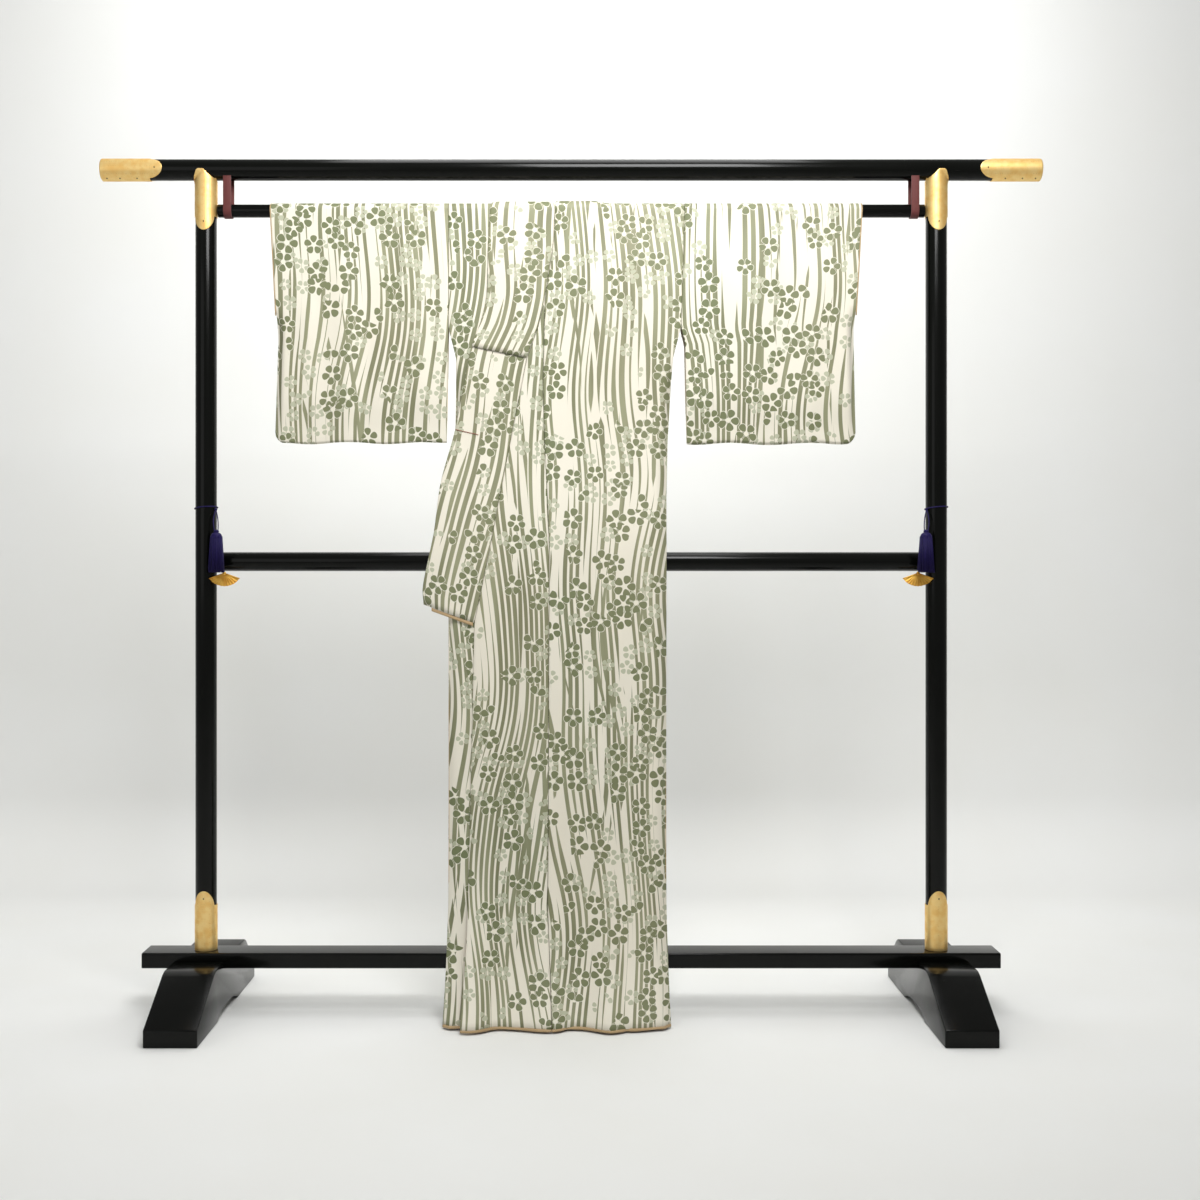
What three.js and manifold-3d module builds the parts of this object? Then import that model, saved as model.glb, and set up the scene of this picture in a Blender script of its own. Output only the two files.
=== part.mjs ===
// A patterned kimono hung by its sleeves on the rod of a lacquered kimono rack.
// Millimetres, +Z up, -Y is the front, +X is the wearer's left.
import * as THREE from 'three';
import { mergeVertices } from 'three/addons/utils/BufferGeometryUtils.js';
import Module from 'manifold-3d';

// ---- driving dimensions -------------------------------------------------------------------

const WALL = 1.6; // lined silk
const SEAM = 0.3; // clearance at every seam
const LAYER = 2.4; // pitch of cloth layers that lie on each other
const INNER = 0.6; // first layer above the rod
const FLOOR_CLEAR = 3; // lowest edge of the hem lining
const LINING_DROP = 6; // lining that shows below the hem
const HEM_CLEAR = FLOOR_CLEAR + LINING_DROP + 0.4;
const PINCH = 16; // width over which front and back close towards a side seam

const ROD = { radius: 13, z: 1597, halfLength: 706 };
const BEAM = { radius: 21, z: 1679, halfLength: 938, cap: 122 };
const POST = { radius: 21, x: 730, foot: 121.3 };
const FITTING = { wall: 1.4, lowTop: 240, highBottom: 1560, tongueTop: 1684 };
const LOOP = { x: 685, width: 16, thick: 2 };
const MID_RAIL = { radius: 19, z: 896 };
const LOW_RAIL = { halfLength: 850, halfDepth: 34, bottom: 91, top: 121, round: 4 };
const FOOT = {
  x: 736, width: 100, halfLength: 250, toe: 33, top: 105, flatFront: 110, flatBack: 160, pad: 162, arch: 14,
};
const TASSEL = { x: 701, y: -37, top: 957, bottom: 877, radius: 15.5, band: 1003, cord: 5 };
const FAN = { x: 689, z: 871, width: 60, height: 30, thick: 3 };

// Depth of the innermost layer in front and behind, by height; the hollow lies between them.
const DEPTH = [
  { z: 1597, front: -13, back: 13 },
  { z: 1560, front: -13.3, back: 12.6 },
  { z: 1400, front: -16, back: 8 },
  { z: 1134, front: -22, back: -2 },
  { z: 896, front: -45, back: -30 },
  { z: 500, front: -51, back: -36 },
  { z: 250, front: -62, back: -46 },
  { z: 120, front: -84, back: -66 },
  { z: 60, front: -109, back: -88 },
  { z: 0, front: -143, back: -120 },
  { z: -30, front: -161, back: -137 },
];

// Outline of the sides, wearer's left and right.
const SIDE = [
  { z: 1597, left: 226, right: -244 },
  { z: 1360, left: 218, right: -244 },
  { z: 1300, left: 202, right: -229 },
  { z: 1133, left: 192, right: -231 },
  { z: 1022, left: 189, right: -236 },
  { z: 775, left: 188, right: -242 },
  { z: 220, left: 187, right: -241 },
  { z: -30, left: 192, right: -247 },
];

// Inner edge of the left front: collar seam down to the tip of the overlap panel, then its seam.
const FRONT_SEAM = [
  { z: 1597, x: -32 },
  { z: 1525, x: -36 },
  { z: 1420, x: -52 },
  { z: 1250, x: -56 },
  { z: 1133, x: -53 },
  { z: 1022, x: -47 },
  { z: 917, x: -43 },
  { z: 360, x: -45 },
  { z: 220, x: -46 },
  { z: -30, x: -35 },
];

// Free edge of the overlap panel below the collar.
const OVERLAP_EDGE = [
  { z: 775, x: -190 },
  { z: 420, x: -198 },
  { z: 160, x: -203 },
  { z: -30, x: -212 },
];

// The collar opened flat, one row for each line across it.
const COLLAR = [
  { free: -162, freeZ: 1597, seam: -32, seamZ: 1597 },
  { free: -166, freeZ: 1520, seam: -36, seamZ: 1525 },
  { free: -168, freeZ: 1430, seam: -52, seamZ: 1420 },
  { free: -180, freeZ: 1372, seam: -66, seamZ: 1360 },
  { free: -198, freeZ: 1322, seam: -88, seamZ: 1300 },
  { free: -230, freeZ: 1158, seam: -121, seamZ: 1133 },
  { free: -258, freeZ: 1050, seam: -142, seamZ: 1022 },
  { free: -271, freeZ: 950, seam: -161, seamZ: 917 },
  { free: -292, freeZ: 845, seam: -184, seamZ: 805 },
  { free: -290, freeZ: 811, seam: -191, seamZ: 775 },
];
const OVER_COLLAR_ROWS = 5; // the protecting collar ends at this row
const COLLAR_BACK = { drop: 110, free: -150, seam: -36 };

// How far the outer front swings forward at the hem, by place across the garment.
const HEM_SWEEP = [
  { x: -260, y: -12 },
  { x: -195, y: -24 },
  { x: -150, y: -2 },
  { x: -100, y: -5 },
  { x: -35, y: -16 },
  { x: 15, y: -1 },
  { x: 68, y: -20 },
  { x: 125, y: -9 },
  { x: 168, y: 0 },
  { x: 200, y: 0 },
];
const SWEEP_HEIGHT = 320; // the sweep fades out at this height
const SOFT_FOLD = { depth: 2.2, long: 173, short: 97 };

const TIP_Z = 1405; // tip of the overlap panels
const COLLAR_END_Z = 775;
const SLIT_Z = 1250; // front and back are sewn together below this height
const RIGHT_SEAM_X = -22; // inner edge of the right front, under the left
const RIGHT_COLLAR = 52; // hidden collar, folded in half
const PLEAT = { left: -46.5, right: 28.5, seam: -9 };

// Outer and inner edges of the sleeves, as height and place across.
const SLEEVES = {
  left: {
    outer: [[1597, 578], [1360, 563], [1120, 567]],
    inner: [[1360, 218], [1330, 226], [1120, 230]],
  },
  right: {
    outer: [[1597, -598], [1340, -584], [1120, -590]],
    inner: [[1360, -244], [1120, -248]],
  },
};
const SLEEVE_BOTTOM = 1136;
const SLEEVE_CORNER = 17;
const CUFF = 230;
const ARMHOLE_Z = 1360; // sleeve and body are sewn together above this height

const IVORY = material('#e6e0cf', 0.62);
const OCHRE = material('#b58a52', 0.55);
const LACQUER = material('#0e0d0d', 0.22);
const GOLD = material('#c99a48', 0.36, 1);
const RED_CORD = material('#5b2622', 0.7);
const PURPLE = material('#1b1242', 0.75);

function material(color, roughness, metalness = 0) {
  return new THREE.MeshStandardMaterial({ color, roughness, metalness });
}

// ---- tables -------------------------------------------------------------------------------

function straight(table, key, column, value) {
  const up = table[1][key] > table[0][key] ? 1 : -1;
  const last = table.length - 1;
  let i = 1;
  while (i < last && (value - table[i][key]) * up > 0) i += 1;
  const a = table[i - 1];
  const b = table[i];
  const t = Math.min(1, Math.max(0, (value - a[key]) / (b[key] - a[key])));
  return a[column] + (b[column] - a[column]) * t;
}

// Cubic through the rows, with the slope at each taken from its neighbours.
function smooth(table, key, column, value) {
  const last = table.length - 1;
  const up = table[1][key] > table[0][key] ? 1 : -1;
  let i = 1;
  while (i < last && (value - table[i][key]) * up > 0) i += 1;
  const slope = (k) => {
    const p = table[Math.max(0, k - 1)];
    const q = table[Math.min(last, k + 1)];
    return (q[column] - p[column]) / (q[key] - p[key]);
  };
  const a = table[i - 1];
  const b = table[i];
  const span = b[key] - a[key];
  const t = Math.min(1, Math.max(0, (value - a[key]) / span));
  const rise = b[column] - a[column];
  const m0 = slope(i - 1) * span;
  const m1 = slope(i) * span;
  return a[column] + t * m0 + t * t * (3 * rise - 2 * m0 - m1) + t * t * t * (m0 + m1 - 2 * rise);
}

const ramp = (from, to, value) => THREE.MathUtils.smoothstep(value, from, to);
const fallRamp = (top, bottom, z) => 1 - ramp(bottom, top, z);

// ---- the hung cloth -----------------------------------------------------------------------

// Where a layer lies: on the front or back at a height, or over the rod at an angle.
const onSide = (side, z) => ({ side, z });
const overRod = (degrees) => ({ angle: degrees, z: ROD.z });

function drift(x, z, outer) {
  const sweep = outer * smooth(HEM_SWEEP, 'x', 'y', x) * fallRamp(SWEEP_HEIGHT, -10, z);
  const wave = Math.sin(x / SOFT_FOLD.long * 2 * Math.PI + 0.6) * 0.6
    + Math.sin(x / SOFT_FOLD.short * 2 * Math.PI + 2.1 + z / 900) * 0.4;
  return sweep + wave * SOFT_FOLD.depth * fallRamp(1500, 900, z);
}

function clothPoint(x, place, offset) {
  if (place.angle !== undefined) {
    const a = THREE.MathUtils.degToRad(place.angle);
    const r = ROD.radius + offset;
    return new THREE.Vector3(x, -r * Math.cos(a), ROD.z + r * Math.sin(a));
  }
  const y = smooth(DEPTH, 'z', place.side, place.z);
  const step = 2;
  const depthAt = (z) => smooth(DEPTH, 'z', place.side, z);
  const lean = (depthAt(place.z + step) - depthAt(place.z - step))
    / (2 * step);
  const out = place.side === 'front' ? -1 : 1;
  const size = Math.hypot(1, lean);
  const z = place.z - out * offset * lean / size;
  const outer = place.side === 'front' ? ramp(layer(2), layer(3), offset) : 0;
  return new THREE.Vector3(x, y + out * offset / size + drift(x, z, outer), z);
}

const layer = (n) => INNER + (n - 1) * LAYER;

// Height on the base surface where this layer's lower face ends, a given distance above the floor.
function hemLevel(side, inner, thick, clear) {
  const offset = side === 'front' ? inner : inner + thick;
  let low = -28;
  let high = 60;
  for (let i = 0; i < 24; i += 1) {
    const mid = (low + high) / 2;
    if (clothPoint(0, onSide(side, mid), offset).z < clear) low = mid;
    else high = mid;
  }
  return high;
}

// The left half climbs over the right near the middle and comes down to the rod further out.
function leftOffset(x, place) {
  const away = place.angle === undefined ? fallRamp(1590, 1450, place.z) : 0;
  const middle = 1 - ramp(42, 78, x);
  return layer(1) + (layer(3) - layer(1)) * Math.max(middle, away);
}
const rightOffset = () => layer(1);

// Front and back draw together towards a side seam, below the opening under the sleeve.
function sewn(offset, x, edge, place, from = SLIT_Z) {
  if (place.angle !== undefined) return offset;
  const near = (1 - ramp(0, PINCH, Math.abs(edge - x))) * fallRamp(from + 40, from - 10, place.z);
  const hollow = straight(DEPTH, 'z', 'back', place.z) - straight(DEPTH, 'z', 'front', place.z);
  const lean = place.z < 260 ? 0.8 : 1;
  return offset - near * (offset + hollow * lean / 2 - SEAM);
}

const LEVELS = levels();
function levels() {
  const rowKnots = [...FRONT_SEAM, ...SIDE].map((row) => row.z);
  const knots = [...rowKnots, ...COLLAR.map((row) => row.seamZ), TIP_Z, SLIT_Z];
  const steps = [1562, 640, 500, 290, 170, 130, 98, 72, 48, 26];
  const all = [...new Set([...knots, ...steps])].filter((z) => z > 20 && z < ROD.z);
  return all.sort((a, b) => b - a);
}

function down(side, top, bottom) {
  const between = LEVELS.filter((z) => z < top - 1 && z > bottom + 1);
  return [top, ...between, bottom].map((z) => onSide(side, z));
}

// The same, down to an edge that stays a given distance above the floor.
const downToHem = (side, top, clear) => [...down(side, top, 26), { side, z: 0, clear }];

const ROD_ANGLES = [18, 42, 66, 90, 114, 138, 162];

// ---- solids -------------------------------------------------------------------------------

// rows[i][k] is a pair of points, inner and outer. The wall between them is one closed solid.
function wall(rows, ring = false) {
  const across = rows[0].length;
  const position = rows.flat(2).flatMap((p) => [p.x, p.y, p.z]);
  const id = (i, k, face) => ((i * across) + (k % across)) * 2 + face;
  const index = [];
  const quad = (a, b, c, d) => index.push(a, b, c, a, c, d);
  const ends = ring ? across : across - 1;
  const last = rows.length - 1;
  for (let k = 0; k < ends; k += 1) {
    for (let i = 0; i < last; i += 1) {
      quad(id(i, k, 0), id(i + 1, k, 0), id(i + 1, k + 1, 0), id(i, k + 1, 0));
      quad(id(i, k, 1), id(i, k + 1, 1), id(i + 1, k + 1, 1), id(i + 1, k, 1));
    }
    quad(id(0, k, 0), id(0, k + 1, 0), id(0, k + 1, 1), id(0, k, 1));
    quad(id(last, k, 0), id(last, k, 1), id(last, k + 1, 1), id(last, k + 1, 0));
  }
  if (!ring) {
    for (let i = 0; i < last; i += 1) {
      quad(id(i, 0, 0), id(i, 0, 1), id(i + 1, 0, 1), id(i + 1, 0, 0));
      quad(id(i, ends, 0), id(i + 1, ends, 0), id(i + 1, ends, 1), id(i, ends, 1));
    }
  }
  return closedGeometry(position, index);
}

function closedGeometry(position, index) {
  const geometry = new THREE.BufferGeometry();
  geometry.setAttribute('position', new THREE.Float32BufferAttribute(position, 3));
  let volume = 0;
  const p = (n) => new THREE.Vector3().fromArray(position, n * 3);
  for (let i = 0; i < index.length; i += 3) {
    volume += p(index[i]).dot(p(index[i + 1]).cross(p(index[i + 2])));
  }
  geometry.setIndex(volume > 0 ? index : index.toReversed());
  return geometry;
}

const wasm = await Module();
wasm.setup();

function toSolid(geometry) {
  const bare = geometry.clone();
  bare.deleteAttribute('normal');
  bare.deleteAttribute('uv');
  const merged = mergeVertices(bare, 1e-4);
  const vertProperties = new Float32Array(merged.attributes.position.array);
  const triVerts = new Uint32Array(merged.index.array);
  return new wasm.Manifold(new wasm.Mesh({ numProp: 3, vertProperties, triVerts }));
}

function fromSolid(solid) {
  const mesh = solid.getMesh();
  return closedGeometry(Array.from(mesh.vertProperties), Array.from(mesh.triVerts));
}

const fuse = (...parts) => fromSolid(parts.map(toSolid).reduce((sum, part) => sum.add(part)));
const common = (a, b) => fromSolid(toSolid(a).intersect(toSolid(b)));
const cut = (a, ...tools) => fromSolid(
  tools.map(toSolid).reduce((sum, tool) => sum.subtract(tool), toSolid(a)),
);

const group = new THREE.Group();

function add(name, geometry, finish) {
  const mesh = new THREE.Mesh(geometry, finish);
  mesh.name = name;
  group.add(mesh);
}

// ---- panels -------------------------------------------------------------------------------

const PANEL_COLUMNS = [0, 0.17, 0.34, 0.51, 0.68, 0.84, 0.93, 1];
const OVERLAP_COLUMNS = [0, 0.25, 0.5, 0.75, 1];
const NARROW_COLUMNS = [0, 0.33, 0.67, 1];

function panel(places, edges, offset, columns = PANEL_COLUMNS, thick = WALL) {
  return wall(places.map((place) => {
    const [from, to] = edges(place);
    return columns.map((f) => {
      const x = from + (to - from) * f;
      const o = offset(x, place);
      const z = place.clear === undefined ? place.z : hemLevel(place.side, o, thick, place.clear);
      return [clothPoint(x, { ...place, z }, o), clothPoint(x, { ...place, z }, o + thick)];
    });
  }));
}

const sideX = (half, z) => straight(SIDE, 'z', half, z);
const frontSeamX = (z) => straight(FRONT_SEAM, 'z', 'x', z);
const collarSeamX = (z) => straight(COLLAR, 'seamZ', 'seam', z);
const overlapEdgeX = (z) => (z > COLLAR_END_Z ? collarSeamX(z) : straight(OVERLAP_EDGE, 'z', 'x', z));
const rightOverlapX = (z) => {
  const lowest = Math.max(z, COLLAR_END_Z);
  return RIGHT_SEAM_X - 52 - collarSeamX(lowest) + (lowest - z) * 0.004;
};

// How far the back neck has opened out to the full pleat, from the rod downwards.
const neckOpen = (place) => {
  if (place.angle !== undefined) return 0.5 * ramp(100, 170, place.angle);
  return 0.5 + 0.5 * fallRamp(1590, 1560, place.z);
};

const BODY_PLACES = [
  ...downToHem('front', ROD.z, HEM_CLEAR).reverse(),
  ...ROD_ANGLES.map(overRod),
  ...downToHem('back', ROD.z, HEM_CLEAR),
];

// Turned edge of the centre-back pleat: a strip that folds from one layer to the next.
function pleatFlap(top, foldX, endX, fromLayer, toLayer) {
  const inward = Math.sign(endX - foldX);
  const up = Math.sign(toLayer - fromLayer);
  const middle = (layer(fromLayer) + layer(toLayer) + WALL) / 2;
  const bulge = LAYER * Math.abs(toLayer - fromLayer) / 2;
  const lowest = hemLevel('back', layer(Math.max(fromLayer, toLayer)), WALL, HEM_CLEAR);
  const line = [[foldX + inward * 3, 0], [foldX, 0], [foldX, 60], [foldX, 120], [foldX, 180], [endX, 180]];
  return wall(down('back', top, lowest).map((place) => line.map(([x, turn]) => {
    const t = THREE.MathUtils.degToRad(turn);
    const pointAt = (r) => clothPoint(x - inward * r * Math.sin(t), place, middle - up * r * Math.cos(t));
    return [pointAt(bulge - WALL / 2), pointAt(bulge + WALL / 2)];
  })));
}

function bodyRight() {
  const inner = (place) => {
    const inFront = place.side === 'front' || (place.angle !== undefined && place.angle < 100);
    if (inFront) return RIGHT_SEAM_X - SEAM;
    return RIGHT_SEAM_X + (PLEAT.right - RIGHT_SEAM_X) * neckOpen(place);
  };
  const edges = (place) => [inner(place), sideX('right', place.z)];
  const main = panel(BODY_PLACES, edges, (x, place) => sewn(layer(1), x, sideX('right', place.z), place));
  const flap = pleatFlap(1525, PLEAT.right, PLEAT.seam, 1, 2);
  return fuse(main, flap);
}

function bodyLeft() {
  const inner = (place) => {
    if (place.side === 'front') return frontSeamX(place.z) + SEAM;
    if (place.angle !== undefined && place.angle < 100) return FRONT_SEAM[0].x + SEAM;
    return FRONT_SEAM[0].x + SEAM + (PLEAT.left - FRONT_SEAM[0].x) * neckOpen(place);
  };
  const edges = (place) => [inner(place), sideX('left', place.z)];
  const offset = (x, place) => sewn(leftOffset(x, place), x, sideX('left', place.z), place);
  const main = panel(BODY_PLACES, edges, offset);
  const flap = pleatFlap(1525, PLEAT.left, PLEAT.seam - 2 * SEAM, 3, 2);
  return fuse(main, flap);
}

function overlapPanel(half) {
  const n = half === 'left' ? 3 : 1;
  const places = downToHem('front', TIP_Z, HEM_CLEAR);
  const left = (place) => {
    const underCollar = place.z > COLLAR_END_Z ? SEAM : 0;
    return [overlapEdgeX(place.z) + underCollar, frontSeamX(place.z) - SEAM];
  };
  const right = (place) => [RIGHT_SEAM_X + SEAM, Math.max(rightOverlapX(place.z), RIGHT_SEAM_X + 3) - SEAM];
  return panel(places, half === 'left' ? left : right, () => layer(n), OVERLAP_COLUMNS);
}

// ---- collar -------------------------------------------------------------------------------

// Rows of the collar from behind the rod, over it and down to the given row of the table.
function collarRows(count) {
  const behind = [COLLAR_BACK.drop, 70, 36].map((drop) => {
    const z = ROD.z - drop;
    const place = onSide('back', z);
    return { free: COLLAR_BACK.free, seam: COLLAR_BACK.seam, a: place, b: place, up: 1 };
  });
  const over = [180, ...ROD_ANGLES.toReversed()].map((angle) => {
    const t = angle / 180;
    const place = overRod(angle);
    const free = COLLAR[0].free + (COLLAR_BACK.free - COLLAR[0].free) * t;
    const seam = COLLAR[0].seam + (COLLAR_BACK.seam - COLLAR[0].seam) * t;
    return { free, seam, a: place, b: place, up: ramp(20, 100, angle) };
  });
  const front = COLLAR.slice(0, count).map((row) => ({
    free: row.free, seam: row.seam, a: onSide('front', row.freeZ), b: onSide('front', row.seamZ), up: 0,
  }));
  return [...behind, ...over, ...front];
}

function collarWall(rows, lift, thick, inset) {
  return wall(rows.map((row) => OVERLAP_COLUMNS.map((f) => {
    const x = row.free + inset + (row.seam - SEAM - row.free - 2 * inset) * f;
    const place = row.a.angle !== undefined ? row.a : onSide(row.a.side, row.a.z + (row.b.z - row.a.z) * f);
    const o = layer(3) + LAYER * row.up + lift;
    return [clothPoint(x, place, o), clothPoint(x, place, o + thick)];
  })));
}

function collarEndLining() {
  const end = COLLAR.at(-1);
  const from = 0.18; // bare stretch at the rounded corner
  const drop = LINING_DROP;
  const rows = [-SEAM, -drop].map((dz) => [from, 0.5, 1].map((f) => {
    const x = end.free + (end.seam - end.free) * f - 1;
    const z = end.freeZ + (end.seamZ - end.freeZ) * f + dz;
    const o = layer(3) - 0.2;
    return [clothPoint(x, onSide('front', z), o), clothPoint(x, onSide('front', z), o + WALL)];
  }));
  return wall(rows);
}

function hiddenCollar() {
  const places = [...[66, 42, 18].map(overRod), ...down('front', ROD.z, COLLAR_END_Z)];
  const seam = (z) => (z > TIP_Z ? RIGHT_SEAM_X : rightOverlapX(z));
  const edges = (place) => [seam(place.z) + SEAM, seam(place.z) + RIGHT_COLLAR];
  return panel(places, edges, () => layer(1), NARROW_COLUMNS, 2.2);
}

// ---- sleeves ------------------------------------------------------------------------------

const rowsOf = (points) => points.map(([z, x]) => ({ z, x }));
const sleeveX = (half, edge, z) => {
  if (edge === 'inner' && z >= ARMHOLE_Z) return sideX(half, z);
  return straight(rowsOf(SLEEVES[half][edge]), 'z', 'x', z);
};
const SLEEVE_STATIONS = [0, 0.012, 0.028, 0.05, 0.22, 0.42, 0.62, 0.82, 1];
const SLEEVE_LEVELS = [1597, 1525, 1450, ARMHOLE_Z, 1330, 1270, 1200];

function sleeve(half) {
  const seamOffset = half === 'left' ? (place) => leftOffset(sideX(half, ROD.z), place) : rightOffset;
  const bottomAt = (distance) => {
    const inside = Math.max(0, SLEEVE_CORNER - distance);
    return SLEEVE_BOTTOM + SLEEVE_CORNER - Math.sqrt(SLEEVE_CORNER ** 2 - inside ** 2);
  };
  const rings = SLEEVE_STATIONS.map((f) => {
    const xAt = (z) => {
      const outer = sleeveX(half, 'outer', z);
      const inner = sleeveX(half, 'inner', z) + Math.sign(outer) * SEAM;
      return outer + (inner - outer) * f;
    };
    const distance = Math.abs(sleeveX(half, 'outer', SLEEVE_BOTTOM) - xAt(SLEEVE_BOTTOM));
    const bottom = bottomAt(distance);
    const closing = (place) => {
      const edge = sleeveX(half, 'outer', place.z);
      const drawn = sewn(seamOffset(place), xAt(place.z), edge, place, ROD.z - CUFF);
      const hollow = straight(DEPTH, 'z', 'back', place.z) - straight(DEPTH, 'z', 'front', place.z);
      const taper = 0.6 * fallRamp(bottom + 90, bottom, place.z);
      return drawn - taper * Math.max(0, drawn + hollow / 2 - SEAM);
    };
    const pairAt = (place) => {
      const o = closing(place);
      const x = xAt(place.z);
      return [clothPoint(x, place, o), clothPoint(x, place, o + WALL)];
    };
    const levelsDown = [...SLEEVE_LEVELS, bottom + 14, bottom + 4];
    const front = levelsDown.map((z) => pairAt(onSide('front', z)));
    const back = levelsDown.map((z) => pairAt(onSide('back', z)));
    const x = xAt(bottom);
    const [fi] = front.at(-1);
    const [bi] = back.at(-1);
    const half2 = (bi.y - fi.y) / 2;
    const turn = [30, 60, 90, 120, 150].map((degrees) => {
      const a = THREE.MathUtils.degToRad(degrees);
      const ring = (r) => new THREE.Vector3(x, fi.y + half2 - r * Math.cos(a), fi.z - r * Math.sin(a) * 0.8);
      return [ring(half2), ring(half2 + WALL)];
    });
    const over = ROD_ANGLES.map((angle) => pairAt(overRod(angle)));
    return [...over.toReversed(), ...front, ...turn, ...back.toReversed()];
  });
  return wall(rings, true);
}

function cuffLining(half) {
  const seamOffset = half === 'left' ? (place) => leftOffset(sideX(half, ROD.z), place) : rightOffset;
  const out = half === 'left' ? 1 : -1;
  const open = (side) => [1597, 1540, 1450, 1400].map((z) => onSide(side, z));
  const places = [...open('front').reverse(), ...ROD_ANGLES.map(overRod), ...open('back')];
  const edges = (place) => {
    const edge = sleeveX(half, 'outer', place.z);
    return [edge + out * SEAM, edge + out * 2.4];
  };
  return panel(places, edges, (x, place) => seamOffset(place), [0, 1]);
}

// ---- hem lining ---------------------------------------------------------------------------

function hemLining(side, n, edges, columns) {
  const places = [FLOOR_CLEAR + LINING_DROP, FLOOR_CLEAR].map((clear) => ({ side, z: 0, clear }));
  const half = n === 3 ? 'left' : 'right';
  return panel(places, edges, (x, place) => sewn(layer(n), x, sideX(half, place.z), place), columns);
}

// ---- rack ---------------------------------------------------------------------------------

const turned = (geometry, x = 0, y = 0, z = 0) => {
  if (x) geometry.rotateX(x);
  if (y) geometry.rotateY(y);
  if (z) geometry.rotateZ(z);
  return geometry;
};
const moved = (geometry, x, y, z) => geometry.translate(x, y, z);
const QUARTER = Math.PI / 2;

const rodAlongX = (radius, from, to, z, sides = 32) => moved(
  turned(new THREE.CylinderGeometry(radius, radius, to - from, sides), 0, 0, QUARTER),
  (from + to) / 2, 0, z,
);
const postAlongZ = (radius, from, to, x, sides = 32) => moved(
  turned(new THREE.CylinderGeometry(radius, radius, to - from, sides), QUARTER),
  x, 0, (from + to) / 2,
);

// Gilt sleeve on a beam end, its inner edge a round lobe in front view.
function beamCap(out) {
  const inner = BEAM.halfLength - BEAM.cap;
  const lobe = BEAM.radius + 1;
  const body = rodAlongX(BEAM.radius + FITTING.wall, inner, BEAM.halfLength, BEAM.z);
  const hollow = rodAlongX(BEAM.radius + SEAM, inner - 1, BEAM.halfLength - 3, BEAM.z);
  const round = moved(new THREE.CylinderGeometry(lobe, lobe, 80, 24), inner + lobe, 0, BEAM.z);
  const rest = moved(new THREE.BoxGeometry(BEAM.cap, 80, 80), inner + lobe + BEAM.cap / 2, 0, BEAM.z);
  const cap = common(cut(body, hollow), fuse(round, rest));
  return out > 0 ? cap : turned(cap, 0, 0, Math.PI);
}

function postFittingHigh(out) {
  const r = POST.radius;
  const top = BEAM.z - BEAM.radius - SEAM;
  const tube = cut(
    postAlongZ(r + FITTING.wall, FITTING.highBottom, top - 12, POST.x),
    postAlongZ(r + SEAM, FITTING.highBottom - 1, top, POST.x),
  );
  const outline = new THREE.Shape();
  outline.moveTo(-17, top - 30);
  outline.lineTo(12, top - 30);
  outline.lineTo(12, top - 2);
  outline.quadraticCurveTo(6, FITTING.tongueTop - 2, -2, FITTING.tongueTop);
  outline.quadraticCurveTo(-14, FITTING.tongueTop, -17, FITTING.tongueTop - 14);
  const plate = new THREE.ExtrudeGeometry(outline, { depth: 2, bevelEnabled: false, curveSegments: 6 });
  turned(plate, QUARTER);
  // the outline's +x side is the inner, slanted side
  const tongue = moved(plate, 0, -r - SEAM, 0);
  tongue.scale(-1, 1, 1);
  const flipped = closedGeometry(Array.from(tongue.attributes.position.array), indexOf(tongue));
  const fitted = fuse(tube, moved(flipped, POST.x, 0, 0));
  return out > 0 ? fitted : mirrored(fitted);
}

function indexOf(geometry) {
  if (geometry.index) return Array.from(geometry.index.array);
  return Array.from({ length: geometry.attributes.position.count }, (_, i) => i);
}

function mirrored(geometry) {
  geometry.scale(-1, 1, 1);
  return closedGeometry(Array.from(geometry.attributes.position.array), indexOf(geometry));
}

function postFittingLow(out) {
  const r = POST.radius;
  return cut(
    postAlongZ(r + FITTING.wall, POST.foot, FITTING.lowTop, out * POST.x),
    postAlongZ(r + SEAM, POST.foot - 1, FITTING.lowTop + 1, out * POST.x),
  );
}

// Strap that carries the rod: down from the beam, round the rod and up again.
function loop(out) {
  const inside = ROD.radius + 0.6;
  const legTop = (y) => BEAM.z - Math.sqrt((BEAM.radius + SEAM) ** 2 - y * y);
  const strap = (r) => {
    const leg = [new THREE.Vector2(-r, legTop(r) - ROD.z)];
    const arc = [0, 22.5, 45, 67.5, 90, 112.5, 135, 157.5, 180].map((d) => {
      const a = THREE.MathUtils.degToRad(d);
      return new THREE.Vector2(-r * Math.cos(a), -r * Math.sin(a));
    });
    return [...leg, ...arc, new THREE.Vector2(r, legTop(r) - ROD.z)];
  };
  const x = out * LOOP.x;
  const rows = [x - LOOP.width / 2, x + LOOP.width / 2].map((rowX) => {
    const inner = strap(inside);
    const outer = strap(inside + LOOP.thick);
    return inner.map((p, i) => [p, outer[i]].map((q) => new THREE.Vector3(rowX, q.x, ROD.z + q.y)));
  });
  return wall(rows);
}

function lowRail() {
  const { halfDepth: d, bottom, top, round } = LOW_RAIL;
  const outline = new THREE.Shape();
  outline.moveTo(-d, bottom);
  outline.lineTo(d, bottom);
  outline.lineTo(d, top - round);
  outline.absarc(d - round, top - round, round, 0, QUARTER);
  outline.lineTo(-d + round, top);
  outline.absarc(-d + round, top - round, round, QUARTER, Math.PI);
  const length = LOW_RAIL.halfLength * 2;
  const rail = new THREE.ExtrudeGeometry(outline, { depth: length, bevelEnabled: false, curveSegments: 4 });
  return moved(turned(rail, QUARTER, 0, QUARTER), -LOW_RAIL.halfLength, 0, 0);
}

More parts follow.
